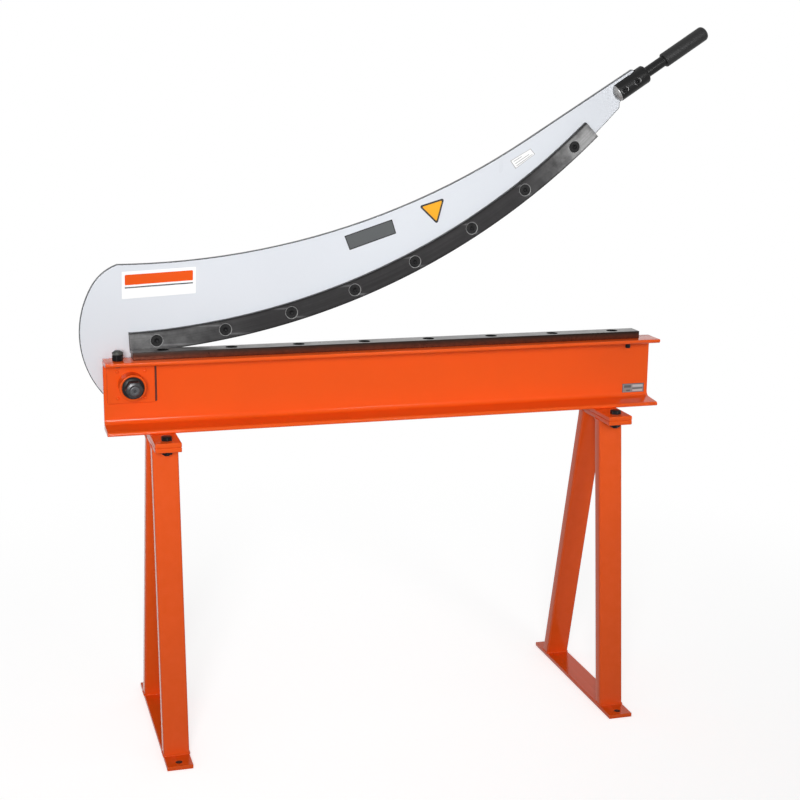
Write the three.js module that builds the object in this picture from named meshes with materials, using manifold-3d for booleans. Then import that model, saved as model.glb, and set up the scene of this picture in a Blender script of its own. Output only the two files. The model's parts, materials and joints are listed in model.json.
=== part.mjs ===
// Guillotine shear on two stands: a channel bed with a straight lower blade, and a
// hand-pulled arm plate with a curved upper blade, hinged behind the bed's left end.
// Millimetres, +X along the bed to the right, +Y to the back, +Z up.

import * as THREE from 'three';
import { mergeVertices } from 'three/addons/utils/BufferGeometryUtils.js';
import Module from 'manifold-3d';

const wasm = await Module();
wasm.setup();

// Bed: a rolled channel on its side, with the web at the back

const bedBeyondBlade = 37.5;
const bedHeight = 140;
const flangeDepth = 60;
const webThickness = 7;
const flangeThickness = 10;
const flangeTaperShare = 0.08;
const rootRadius = 10;
const toeRadius = 5;
const bedSetback = 1;

// Lower blade, on the top flange with its back edge in the shear plane, Y = 0

const lowerBladeStart = 54;
const bladeWidth = 38;
const bladeLength = 1040.5;
const lowerBladeThickness = 15;
const bladeScrewCount = 8;
const lowerFirstScrew = 58.5;
const lowerLastScrew = 53.6;

// Countersunk socket screws of both blades

const bladeScrewDiameter = 12;
const bladeScrewHeadDiameter = 22;
const bladeScrewRim = 1;
const bladeScrewSocket = 8;
const bladeScrewSocketDepth = 4;
const bladeScrewPoint = 1;
const lowerScrewProud = 3;
const upperScrewShort = 1;

// Bolt standing under the right end of the lower blade

const endBoltDiameter = 10;
const endBoltInset = 16;
const endBoltDrop = 23;
const endBoltSink = 6;

// Pivot: plate and boss in front of the web, shaft through both

const pivotInset = 51.5;
const pivotDrop = 50;
const pivotPlateWidth = 90;
const pivotPlateBelow = 36;
const pivotPlateGap = 2.5;
const pivotPlateThickness = 10;
const plateScrewSpacing = 52;
const plateScrewDiameter = 5;
const plateScrewHead = 7;
const plateScrewHeadHeight = 2.5;
const plateScrewLength = 15;
const bossDiameter = 50;
const bossLength = 34;
const bossRecessDiameter = 43;
const bossRecessDepth = 2;
const bossWeld = 1;
const bossEdge = 1.5;
const bushWall = 4;
const shaftDiameter = 25;
const threadDiameter = 20;
const shaftEdge = 1.5;
const shaftEndProud = 7.5;
const shaftCentreDrill = 5;
const shaftFlangeDiameter = 50;
const shaftFlangeThickness = 8;
const pivotWasherDiameter = 42;
const pivotWasherThickness = 3;
const discSpringDiameter = 38;
const discSpringThickness = 1.8;
const discSpringRise = 1.2;
const pivotNutSize = 30;
const pivotNutHeight = 18;
const spacerDiameter = 90;

// Hexagon bolt with lock nut on the left end of the top flange

const bedBoltInset = 26;
const bedBoltSetback = 29;
const bedBoltEnd = 3;
const bedNutHeight = 12;

// Hexagon bolts and nuts of one size, on the stands and on the bed

const hexSize = 19;
const hexHeadHeight = 8;
const hexNutHeight = 9;
const hexBoltDiameter = 12;
const hexBoltProud = 2.5;

// Arm plate: heel round the pivot, curved lower edge, tongue for the handle

const armThickness = 10;
const heelTopHeight = 226.5;
const heelRadius = 183;
const heelAngle = 45.5;
const heelCornerRadius = 94;
const heelCornerCrest = 5.5;
const lobeRadius = 53;
const lobeFilletRadius = 40;
const topStraight = 22;
const tongueAngle = 32;
const tongueWidth = 42.4;
const tongueLength = 56.4;
const noseReach = 75;
const noseRise = 12;
const noseRadius = 8;
const noseRootRadius = 5;
const tongueCorner = 4;

// Upper blade: an arc about a centre high above the pivot, bolted to the arm's front

const upperBladeThickness = 12;
const bladeRadius = 1429;
const bladeCentreInset = 53;
const bladeHeelAngle = 2.18;
const upperFirstScrew = 51.6;
const upperLastScrew = 51;
const heelOverlap = 8.5;
const armEdgeInset = 3.7;

// Handle: slotted round socket, bar and grip on one axis

const handleAngle = 33;
const socketDiameter = 38;
const socketLength = 73;
const socketDome = 11;
const socketDrop = 24.1;
const socketSetback = 51.5;
const socketEdge = 5;
const slotBeyondTongue = 3;
const barDiameter = 22;
const barInSocket = 12;
const barVisible = 46;
const barInGrip = 85;
const gripDiameter = 30;
const gripLength = 107;
const gripEndRadius = 9;
const gripFrontRadius = 2;
const handleScrewDiameter = 8;
const handleScrewHead = 13;
const handleScrewHeadHeight = 8;
const handleScrewSink = 1.5;
const handleScrewSocket = 6;
const handleScrewSocketDepth = 4;
const handleScrewBevel = 1.2;
const handleScrewFirst = 11;
const handleScrewSpacing = 32;
const handleScrewLength = 26;

// Stands: two splayed legs between a plate above and a foot bar below

const standWidth = 50;
const standInsetLeft = 79;
const standInsetRight = 91.5;
const standPlateThickness = 9;
const padThickness = 9;
const plateReachFront = 137;
const plateReachBack = 72;
const plateBoltMargin = 27;
const legHeight = 601;
const legDepth = 26;
const legWall = 2.5;
const legCorner = 4;
const frontLegTop = -88;
const frontLegFoot = -148;
const rearLegTop = -5;
const rearLegFoot = 152;
const footReachFront = 197;
const footReachBack = 224;
const footThickness = 8;
const anchorHoleDiameter = 12;
const anchorHoleMargin = 18;

// Clearances

const bladeGap = 0.3;
const runningGap = 0.3;
const holeGap = 0.3;
const seatGap = 0.3;
const overrun = 5;

// Fineness of round surfaces

const roundSides = 24;
const smallSides = 16;
const arcSag = 0.12;
const widestStep = THREE.MathUtils.degToRad(22.5);

// Heights and lengths that follow

const bedLength = lowerBladeStart + bladeLength + bedBeyondBlade;
const padBottom = footThickness + legHeight + standPlateThickness;
const bedBottom = padBottom + padThickness;
const bedTop = bedBottom + bedHeight;
const bedBack = -bedSetback;
const bedFront = bedBack - flangeDepth;
const webFront = bedBack - webThickness;
const lowerBladeTop = bedTop + lowerBladeThickness;
const bladeScrewY = -bladeWidth / 2;
const flangeThicknessAt = (y) => flangeThickness + flangeTaperShare * (flangeDepth / 2 + y - bedBack);

const pivotZ = bedTop - pivotDrop;
const pivotPlateFront = webFront - pivotPlateThickness;
const bossFront = pivotPlateFront - bossLength;
const washerBack = bossFront + bossRecessDepth;
const washerFront = washerBack - pivotWasherThickness;
const springFront = washerFront - discSpringThickness - discSpringRise;
const nutBack = springFront - runningGap;
const nutFront = nutBack - pivotNutHeight;
const shaftFront = nutFront - shaftEndProud;
const armFront = bladeGap + upperBladeThickness;
const armBack = armFront + armThickness;
const armMiddle = armFront + armThickness / 2;

// Materials

const paint = (color, roughness) => new THREE.MeshStandardMaterial({ color, roughness, metalness: 0 });
const metal = (color, roughness) => new THREE.MeshStandardMaterial({ color, roughness, metalness: 1 });
const orangePaint = paint(0xf0581c, 0.3);
const whitePaint = paint(0xe3e6ec, 0.35);
const blackPaint = paint(0x141414, 0.3);
const blackPlastic = paint(0x1a1a1a, 0.45);
const bladeSteel = metal(0x55555a, 0.4);
const blackOxide = metal(0x1c1c1e, 0.45);
const brightSteel = metal(0x9a9aa0, 0.35);
const bronze = metal(0xb08a4a, 0.4);

// Closed geometry with shared vertices and no empty triangles
function weld(geometry) {
  const bare = geometry.clone();
  bare.deleteAttribute('normal');
  bare.deleteAttribute('uv');
  const merged = mergeVertices(bare);
  const kept = [];
  const index = merged.index.array;
  for (let i = 0; i < index.length; i += 3) {
    const [a, b, c] = [index[i], index[i + 1], index[i + 2]];
    if (a !== b && b !== c && c !== a) kept.push(a, b, c);
  }
  merged.setIndex(kept);
  return merged;
}

function solid(geometry) {
  const welded = weld(geometry);
  const vertProperties = new Float32Array(welded.attributes.position.array);
  const triVerts = new Uint32Array(welded.index.array);
  return new wasm.Manifold(new wasm.Mesh({ numProp: 3, vertProperties, triVerts }));
}

function surface(body) {
  const mesh = body.getMesh();
  const geometry = new THREE.BufferGeometry();
  geometry.setAttribute('position', new THREE.BufferAttribute(mesh.vertProperties, 3));
  geometry.setIndex(new THREE.BufferAttribute(mesh.triVerts, 1));
  return geometry;
}

function cut(geometry, tools) {
  return surface(tools.reduce((body, tool) => body.subtract(solid(tool)), solid(geometry)));
}

function common(geometry, other) {
  return surface(solid(geometry).intersect(solid(other)));
}

// Steps that keep the chords of an arc within arcSag of it
function arcSteps(radius, turn) {
  const step = radius > arcSag ? Math.min(2 * Math.acos(1 - arcSag / radius), widestStep) : widestStep;
  return Math.ceil(Math.abs(turn) / step);
}

// Points along an arc; angles in radians, counted from +X towards +Y of the outline
function arc(x, y, radius, from, to, steps = arcSteps(radius, to - from)) {
  return Array.from({ length: steps + 1 }, (_, i) => {
    const angle = from + (to - from) * (i / steps);
    return new THREE.Vector2(x + radius * Math.cos(angle), y + radius * Math.sin(angle));
  });
}

// Rounds the inner corners of an open line of [point, radius]; the ends stay as they are
function rounded(corners) {
  return corners.flatMap(([corner, radius], i) => {
    if (!radius) return [corner];
    const before = corners[(i + corners.length - 1) % corners.length][0].clone().sub(corner).normalize();
    const after = corners[(i + 1) % corners.length][0].clone().sub(corner).normalize();
    const half = before.angleTo(after) / 2;
    const centre = before.clone().add(after).normalize().multiplyScalar(radius / Math.sin(half)).add(corner);
    const start = before.multiplyScalar(radius / Math.tan(half)).add(corner).sub(centre).angle();
    let turn = after.multiplyScalar(radius / Math.tan(half)).add(corner).sub(centre).angle() - start;
    if (turn > Math.PI) turn -= 2 * Math.PI;
    if (turn < -Math.PI) turn += 2 * Math.PI;
    return arc(centre.x, centre.y, radius, start, start + turn);
  });
}

const point = (x, y) => new THREE.Vector2(x, y);

function rectangle(x0, y0, x1, y1, radius = 0) {
  return rounded([
    [point(x0, y0), radius],
    [point(x1, y0), radius],
    [point(x1, y1), radius],
    [point(x0, y1), radius],
  ]);
}

const circle = (x, y, diameter, sides) => arc(x, y, diameter / 2, 0, 2 * Math.PI, sides).slice(1);

function outline(points, holes = []) {
  const shape = new THREE.Shape(points);
  shape.holes = holes.map((hole) => new THREE.Path(hole));
  return shape;
}

function extrude(shape, depth) {
  return new THREE.ExtrudeGeometry(shape, { depth, bevelEnabled: false, steps: 1 });
}

// An outline in Y and Z, run along X from x0
function alongX(shape, x0, length) {
  const turn = new THREE.Matrix4().makeBasis(
    new THREE.Vector3(0, 1, 0),
    new THREE.Vector3(0, 0, 1),
    new THREE.Vector3(1, 0, 0),
  );
  return extrude(shape, length).applyMatrix4(turn).translate(x0, 0, 0);
}

// An outline in X and Z, run backwards from yFront
function alongY(shape, yFront, thickness) {
  return extrude(shape, thickness).rotateX(Math.PI / 2).translate(0, yFront + thickness, 0);
}

const alongZ = (shape, z0, height) => extrude(shape, height).translate(0, 0, z0);

// Body of revolution about Y; the profile is [radius, y], from front to back outside
function revolve(profile, sides = roundSides) {
  return new THREE.LatheGeometry(profile.map(([radius, y]) => point(radius, y)), sides);
}

// The same turned so that its axis stands up; the profile is [radius, z]
const revolveUp = (profile, sides = roundSides) => revolve(profile, sides).rotateX(Math.PI / 2);

// Round bar along Y, the same standing up, and a ring along Y
function rod(radius, y0, y1, sides = roundSides) {
  return revolve([[0, y0], [radius, y0], [radius, y1], [0, y1]], sides);
}

const post = (radius, z0, z1, sides = roundSides) => rod(radius, z0, z1, sides).rotateX(Math.PI / 2);

function ring(inner, outer, y0, y1) {
  return revolve([[inner, y0], [outer, y0], [outer, y1], [inner, y1], [inner, y0]]);
}

// Standing hexagon with its outer corners turned off, on the sides that are asked for
function hexagon(size, z0, z1, turnedBelow, turnedAbove) {
  const cornerRadius = size / Math.sqrt(3);
  const turned = cornerRadius - size / 2;
  const faceRadius = size / 2 - turned / 2;
  const slope = (cornerRadius - faceRadius) / 2;
  const profile = [
    [0, z0],
    [turnedBelow ? faceRadius : cornerRadius, z0],
    [cornerRadius, z0 + (turnedBelow ? slope : 0)],
    [cornerRadius, z1 - (turnedAbove ? slope : 0)],
    [turnedAbove ? faceRadius : cornerRadius, z1],
    [0, z1],
  ].filter(([radius, z], i, all) => i === 0 || radius !== all[i - 1][0] || z !== all[i - 1][1]);
  return common(post(cornerRadius, z0, z1, 6), revolveUp(profile));
}

const at = (geometry, x, y, z) => geometry.clone().translate(x, y, z);

const machine = new THREE.Group();

function add(parent, name, material, geometry) {
  const mesh = new THREE.Mesh(geometry, material);
  mesh.name = name;
  parent.add(mesh);
}

// Countersunk screw, head up, its face at z = 0, with a hexagon socket
function bladeScrew(length) {
  const head = bladeScrewHeadDiameter / 2;
  const shank = bladeScrewDiameter / 2;
  const seat = bladeScrewRim + head - shank;
  const blank = revolveUp([
    [0, -length],
    [shank - bladeScrewPoint, -length],
    [shank, bladeScrewPoint - length],
    [shank, -seat],
    [head, -bladeScrewRim],
    [head, 0],
    [0, 0],
  ], smallSides);
  return cut(blank, [post(bladeScrewSocket / Math.sqrt(3), -bladeScrewSocketDepth, overrun, 6)]);
}

// The hole that the screw needs, through the blade and what is behind it
function bladeScrewHole(depth) {
  const head = bladeScrewHeadDiameter / 2 + holeGap;
  const shank = bladeScrewDiameter / 2 + holeGap;
  const seat = bladeScrewRim + head - shank + seatGap;
  return revolveUp([
    [0, -depth],
    [shank, -depth],
    [shank, -seat],
    [head, -bladeScrewRim - seatGap],
    [head, overrun],
    [0, overrun],
  ], smallSides);
}

// Distances of a blade's screws from its left end, evenly spaced between the two margins
function screwRow(length, first, last) {
  const pitch = (length - first - last) / (bladeScrewCount - 1);
  return Array.from({ length: bladeScrewCount }, (_, i) => first + i * pitch);
}

const lowerRow = screwRow(bladeLength, lowerFirstScrew, lowerLastScrew);
const lowerScrewX = lowerRow.map((run) => lowerBladeStart + run);
const endBoltX = lowerBladeStart + bladeLength - endBoltInset;
const bedBoltY = bedFront + bedBoltSetback;

// Section of the channel: a tapered flange above and below, filleted into the web
function channelSection() {
  const toe = flangeThicknessAt(bedFront);
  const root = flangeThicknessAt(webFront);
  return outline(rounded([
    [point(bedBack, bedBottom), 0],
    [point(bedBack, bedTop), 0],
    [point(bedFront, bedTop), 0],
    [point(bedFront, bedTop - toe), toeRadius],
    [point(webFront, bedTop - root), rootRadius],
    [point(webFront, bedBottom + root), rootRadius],
    [point(bedFront, bedBottom + toe), toeRadius],
    [point(bedFront, bedBottom), 0],
  ]));
}

function bedChannel() {
  const through = (diameter) => post(
    diameter / 2 + holeGap, bedTop - 2 * flangeThickness, bedTop + overrun, smallSides);
  const pivotBore = rod(shaftDiameter / 2 + bushWall + holeGap, webFront - overrun, bedBack + overrun);
  return cut(alongX(channelSection(), 0, bedLength), [
    at(pivotBore, pivotInset, 0, pivotZ),
    ...lowerScrewX.map((x) => at(through(bladeScrewDiameter), x, bladeScrewY, 0)),
    at(through(endBoltDiameter), endBoltX, bladeScrewY, 0),
    at(through(hexBoltDiameter), bedBoltInset, bedBoltY, 0),
    ...plateScrews.map(([x, z]) => at(plateScrewHole, x, 0, z)),
  ]);
}

function lowerBlade() {
  const bar = alongX(outline(rectangle(-bladeWidth, bedTop, 0, lowerBladeTop)),
    lowerBladeStart, bladeLength);
  const screwHole = bladeScrewHole(lowerBladeThickness + overrun);
  const endRadius = endBoltDiameter / 2 + holeGap;
  const endHole = post(endRadius, bedTop - overrun, bedTop + endBoltSink + seatGap, smallSides);
  return cut(bar, [
    ...lowerScrewX.map((x) => at(screwHole, x, bladeScrewY, lowerBladeTop)),
    at(endHole, endBoltX, bladeScrewY, 0),
  ]);
}

// Pivot plate, its screws and its boss

const plateTop = bedTop - flangeThicknessAt(webFront) - pivotPlateGap;
const plateScrews = [1, -1].flatMap((side) => [-1, 1].map((end) => [
  pivotInset + end * plateScrewSpacing / 2,
  pivotZ + side * plateScrewSpacing / 2,
]));
const plateScrewTip = pivotPlateFront + plateScrewLength;
const plateScrewHole = rod(
  plateScrewDiameter / 2 + holeGap, pivotPlateFront - overrun, bedBack + overrun, smallSides);

function pivotPlate() {
  const section = outline([
    point(webFront, pivotZ - pivotPlateBelow),
    point(webFront, plateTop - rootRadius),
    point(webFront - rootRadius / 2, plateTop),
    point(pivotPlateFront, plateTop),
    point(pivotPlateFront, pivotZ - pivotPlateBelow),
  ]);
  const bore = rod(shaftDiameter / 2 + bushWall + holeGap, pivotPlateFront - overrun, webFront + overrun);
  return cut(alongX(section, pivotInset - pivotPlateWidth / 2, pivotPlateWidth), [
    at(bore, pivotInset, 0, pivotZ),
    ...plateScrews.map(([x, z]) => at(plateScrewHole, x, 0, z)),
  ]);
}

function plateScrew() {
  const head = plateScrewHead / 2;
  return revolve([
    [0, pivotPlateFront - plateScrewHeadHeight],
    [head * Math.SQRT1_2, pivotPlateFront - plateScrewHeadHeight],
    [head, pivotPlateFront - plateScrewHeadHeight / 2],
    [head, pivotPlateFront],
    [plateScrewDiameter / 2, pivotPlateFront],
    [plateScrewDiameter / 2, plateScrewTip],
    [0, plateScrewTip],
  ], smallSides);
}

function pivotBoss() {
  const outer = bossDiameter / 2;
  const bore = shaftDiameter / 2 + bushWall + holeGap;
  const recess = bossRecessDiameter / 2;
  return revolve([
    [bore, washerBack],
    [recess, washerBack],
    [recess, bossFront],
    [outer - bossEdge, bossFront],
    [outer, bossFront + bossEdge],
    [outer, pivotPlateFront - bossWeld],
    [outer + bossWeld, pivotPlateFront],
    [bore, pivotPlateFront],
    [bore, washerBack],
  ]);
}

function discSpring() {
  const inner = shaftDiameter / 2 + holeGap;
  const outer = discSpringDiameter / 2;
  const back = washerFront;
  return revolve([
    [inner, back - discSpringRise - discSpringThickness],
    [outer, back - discSpringThickness],
    [outer, back],
    [inner, back - discSpringRise],
    [inner, back - discSpringRise - discSpringThickness],
  ]);
}

function pivotShaft() {
  const radius = shaftDiameter / 2;
  const thread = threadDiameter / 2;
  return revolve([
    [0, shaftFront + shaftCentreDrill / 2],
    [shaftCentreDrill / 2, shaftFront],
    [thread - shaftEdge, shaftFront],
    [thread, shaftFront + shaftEdge],
    [thread, nutBack],
    [radius, nutBack],
    [radius, armBack + seatGap],
    [shaftFlangeDiameter / 2, armBack + seatGap],
    [shaftFlangeDiameter / 2, armBack + seatGap + shaftFlangeThickness],
    [0, armBack + seatGap + shaftFlangeThickness],
  ]);
}

// Nut on the front of the shaft; it is drawn standing and laid along Y
function pivotNut() {
  const blank = hexagon(pivotNutSize, 0, pivotNutHeight, false, true);
  const bored = cut(blank, [post(threadDiameter / 2 + holeGap, -overrun, pivotNutHeight + overrun)]);
  return bored.rotateX(Math.PI / 2).translate(0, nutBack, 0);
}

// Hexagon bolt through a stack of plates, and its nut, standing on z = 0

function hexBolt(grip) {
  const head = hexagon(hexSize, 0, hexHeadHeight, false, true);
  const shank = post(hexBoltDiameter / 2, -grip, hexHeadHeight / 2, smallSides);
  return surface(solid(head).add(solid(shank)));
}

function hexNut(height, turnedBelow, turnedAbove) {
  const blank = hexagon(hexSize, 0, height, turnedBelow, turnedAbove);
  return cut(blank, [post(hexBoltDiameter / 2 + holeGap, -overrun, height + overrun, smallSides)]);
}

// The bed

add(machine, 'bed_channel', orangePaint, bedChannel());
add(machine, 'lower_blade', bladeSteel, lowerBlade());
lowerScrewX.forEach((x, i) => {
  const screw = bladeScrew(lowerBladeThickness + flangeThickness + lowerScrewProud);
  add(machine, `lower_blade_screw_${i + 1}`, blackOxide, at(screw, x, bladeScrewY, lowerBladeTop));
});
const endBolt = post(endBoltDiameter / 2, bedTop - endBoltDrop, bedTop + endBoltSink, smallSides);
add(machine, 'blade_end_bolt', blackOxide, at(endBolt, endBoltX, bladeScrewY, 0));
const bedBolt = hexBolt(bedNutHeight + flangeThickness + bedBoltEnd);
add(machine, 'bed_bolt_nut', blackOxide, at(hexNut(bedNutHeight, true, true), bedBoltInset, bedBoltY, bedTop));
add(machine, 'bed_bolt', blackOxide, at(bedBolt, bedBoltInset, bedBoltY, bedTop + bedNutHeight));

// The pivot's fixed pieces

const pivotFixed = new THREE.Group();
pivotFixed.position.set(pivotInset, 0, pivotZ);
machine.add(pivotFixed);
const boreRadius = shaftDiameter / 2 + runningGap;
const bushRadius = shaftDiameter / 2 + bushWall;
const washerRadius = pivotWasherDiameter / 2;
const spacer = ring(boreRadius, spacerDiameter / 2, bedBack, armFront - runningGap);
add(machine, 'pivot_plate', orangePaint, pivotPlate());
plateScrews.forEach(([x, z], i) => {
  add(machine, `pivot_plate_screw_${i + 1}`, orangePaint, at(plateScrew(), x, 0, z));
});
add(pivotFixed, 'pivot_boss', orangePaint, pivotBoss());
add(pivotFixed, 'pivot_bush', bronze, ring(boreRadius, bushRadius, washerBack, bedBack));
add(pivotFixed, 'pivot_washer', blackOxide, ring(boreRadius, washerRadius, washerFront, washerBack));
add(pivotFixed, 'pivot_disc_spring', blackOxide, discSpring());
add(pivotFixed, 'pivot_spacer', orangePaint, spacer);

// The stands

function leg(topFront, footFront) {
  const splay = (topFront - footFront) / legHeight;
  const depth = legDepth * Math.hypot(1, splay);
  const section = outline(
    rectangle(0, 0, standWidth, depth, legCorner),
    [rectangle(legWall, legWall, standWidth - legWall, depth - legWall, legCorner - legWall)],
  );
  const lean = new THREE.Matrix4().makeShear(0, 0, 0, 0, 0, splay);
  return extrude(section, legHeight).applyMatrix4(lean).translate(0, footFront, footThickness);
}

function footBar() {
  const holes = [anchorHoleMargin - footReachFront, footReachBack - anchorHoleMargin];
  return alongZ(outline(
    rectangle(0, -footReachFront, standWidth, footReachBack),
    holes.map((y) => circle(standWidth / 2, y, anchorHoleDiameter, smallSides)),
  ), 0, footThickness);
}

const stackBolts = [
  ['front', plateBoltMargin - plateReachFront],
  ['rear', plateReachBack - plateBoltMargin],
];

function stackPlate(z0, thickness) {
  return alongZ(outline(
    rectangle(0, -plateReachFront, standWidth, plateReachBack),
    stackBolts.map(([, y]) => circle(standWidth / 2, y, hexBoltDiameter + 2 * holeGap, smallSides)),
  ), z0, thickness);
}

const stackNut = hexNut(hexNutHeight, true, false);
const standX = { left: standInsetLeft, right: bedLength - standInsetRight - standWidth };
for (const [side, x] of Object.entries(standX)) {
  const stand = new THREE.Group();
  stand.position.x = x;
  machine.add(stand);
  const plateBottom = padBottom - standPlateThickness;
  add(stand, `bed_pad_${side}`, orangePaint, stackPlate(padBottom, padThickness));
  add(stand, `stand_plate_${side}`, orangePaint, stackPlate(plateBottom, standPlateThickness));
  add(stand, `front_leg_${side}`, orangePaint, leg(frontLegTop, frontLegFoot));
  add(stand, `rear_leg_${side}`, orangePaint, leg(rearLegTop, rearLegFoot));
  add(stand, `foot_bar_${side}`, orangePaint, footBar());
  for (const [end, y] of stackBolts) {
    const grip = padThickness + standPlateThickness + hexNutHeight + hexBoltProud;
    const nutZ = plateBottom - hexNutHeight;
    add(stand, `stand_bolt_${side}_${end}`, blackOxide, at(hexBolt(grip), standWidth / 2, y, bedBottom));
    add(stand, `stand_nut_${side}_${end}`, blackOxide, at(stackNut, standWidth / 2, y, nutZ));
  }
}

// The arm, drawn about the pivot as it stands open

const arm = new THREE.Group();
arm.position.set(pivotInset, 0, pivotZ);
machine.add(arm);

// Angles about the blade's centre are counted from straight below it
const edgeRadius = bladeRadius + bladeWidth / 2;
const armEdgeRadius = edgeRadius - armEdgeInset;
const bladeCentre = point(-bladeCentreInset, pivotDrop + lowerBladeThickness - heelOverlap + edgeRadius);
const bladeHeel = THREE.MathUtils.degToRad(bladeHeelAngle);
const bladeTip = bladeHeel + bladeLength / bladeRadius;
const below = -Math.PI / 2;
const onArc = (radius, angle) => point(0, -radius).rotateAround(point(0, 0), angle).add(bladeCentre);
const upperRow = screwRow(bladeLength, upperFirstScrew, upperLastScrew);
const upperScrews = upperRow.map((run) => onArc(bladeRadius, bladeHeel + run / bladeRadius));

function upperBlade() {
  const topRadius = edgeRadius - bladeWidth;
  const shape = outline([
    ...arc(bladeCentre.x, bladeCentre.y, edgeRadius, below + bladeHeel, below + bladeTip),
    ...arc(bladeCentre.x, bladeCentre.y, topRadius, below + bladeTip, below + bladeHeel),
  ]);
  const hole = bladeScrewHole(upperBladeThickness + overrun).rotateX(Math.PI / 2);
  return cut(
    alongY(shape, bladeGap, upperBladeThickness),
    upperScrews.map((place) => at(hole, place.x, bladeGap, place.y)),
  );
}

// Tongue: its length runs along `ahead`, its width along `across`
const tongueTurn = THREE.MathUtils.degToRad(tongueAngle);
const ahead = point(Math.cos(tongueTurn), Math.sin(tongueTurn));
const across = point(-ahead.y, ahead.x);
const nose = onArc(armEdgeRadius, bladeTip + noseReach / armEdgeRadius);
const tongueRoot = point(nose.x, nose.y + noseRise);
const tongueEnd = tongueRoot.clone().addScaledVector(ahead, tongueLength);
const tongueTop = tongueEnd.clone().addScaledVector(across, tongueWidth);

function armOutline() {
  const turn = THREE.MathUtils.degToRad(heelAngle);
  const heel = point(Math.cos(turn), Math.sin(turn)).multiplyScalar(heelRadius - lobeRadius);
  const cornerY = heelTopHeight + heelCornerCrest - heelCornerRadius;
  const reach = heelRadius - heelCornerRadius;
  const cornerX = heel.x - Math.sqrt(reach ** 2 - (cornerY - heel.y) ** 2);
  const cornerTurn = Math.atan2(cornerY - heel.y, cornerX - heel.x);
  const cornerEnd = Math.PI - Math.asin(1 - heelCornerCrest / heelCornerRadius);
  const topStart = cornerX + heelCornerRadius * Math.cos(cornerEnd) + topStraight;
  const bend = tongueTop.clone().addScaledVector(ahead, (heelTopHeight - tongueTop.y) / ahead.y);
  const topRadius = (bend.x - topStart) / Math.tan(tongueTurn / 2);
  const filletReach = lobeRadius + lobeFilletRadius;
  const edgeReach = armEdgeRadius + lobeFilletRadius;
  const span = bladeCentre.length();
  const lean = Math.acos((filletReach ** 2 + span ** 2 - edgeReach ** 2) / (2 * filletReach * span));
  const fillet = point(filletReach, 0).rotateAround(point(0, 0), bladeCentre.angle() - lean);
  const filletFrom = fillet.angle();
  const filletTo = bladeCentre.clone().sub(fillet).angle();
  const edgeFrom = fillet.clone().sub(bladeCentre).angle() - 2 * Math.PI;
  const edgeTo = nose.clone().sub(bladeCentre).angle() - 2 * Math.PI;
  return [
    ...arc(bladeCentre.x, bladeCentre.y, armEdgeRadius, edgeFrom, edgeTo).slice(0, -1),
    ...rounded([
      [onArc(armEdgeRadius, bladeTip), 0],
      [nose, noseRadius],
      [tongueRoot, noseRootRadius],
      [tongueEnd, tongueCorner],
      [tongueTop, tongueCorner],
      [bend, 0],
    ]).slice(1, -1),
    ...arc(topStart, heelTopHeight + topRadius, topRadius, tongueTurn + below, below),
    ...arc(cornerX, cornerY, heelCornerRadius, cornerEnd, cornerTurn),
    ...arc(heel.x, heel.y, heelRadius, cornerTurn, turn + Math.PI).slice(1),
    ...arc(0, 0, lobeRadius, turn + Math.PI, 2 * Math.PI + filletFrom).slice(1),
    ...arc(fillet.x, fillet.y, lobeFilletRadius, filletFrom + Math.PI, filletTo).slice(1, -1),
  ];
}

// Handle, drawn along its own axis with x = 0 at the left end of the socket's round length
const handleTurn = THREE.MathUtils.degToRad(handleAngle);
const handleAhead = point(Math.cos(handleTurn), Math.sin(handleTurn));
const handleAcross = point(-handleAhead.y, handleAhead.x);
const handleStart = tongueTop.clone()
  .addScaledVector(handleAcross, -socketDrop)
  .addScaledVector(handleAhead, -socketSetback);
const handleScrewX = [handleScrewFirst, handleScrewFirst + handleScrewSpacing];
const socketFront = -socketDiameter / 2;
const handleScrewFace = socketFront + handleScrewSink;

function armPlate() {
  const screwHole = (diameter) => rod(
    diameter / 2 + holeGap, armFront - overrun, armBack + overrun, smallSides);
  const handleScrews = handleScrewX.map((x) => handleStart.clone().addScaledVector(handleAhead, x));
  return cut(alongY(outline(armOutline()), armFront, armThickness), [
    screwHole(shaftDiameter),
    ...upperScrews.map((place) => at(screwHole(bladeScrewDiameter), place.x, 0, place.y)),
    ...handleScrews.map((place) => at(screwHole(handleScrewDiameter), place.x, 0, place.y)),
  ]);
}

// Body of revolution about X; the profile is [radius, x]
const revolveAhead = (profile, sides = roundSides) => revolve(profile, sides).rotateZ(-Math.PI / 2);

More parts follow.
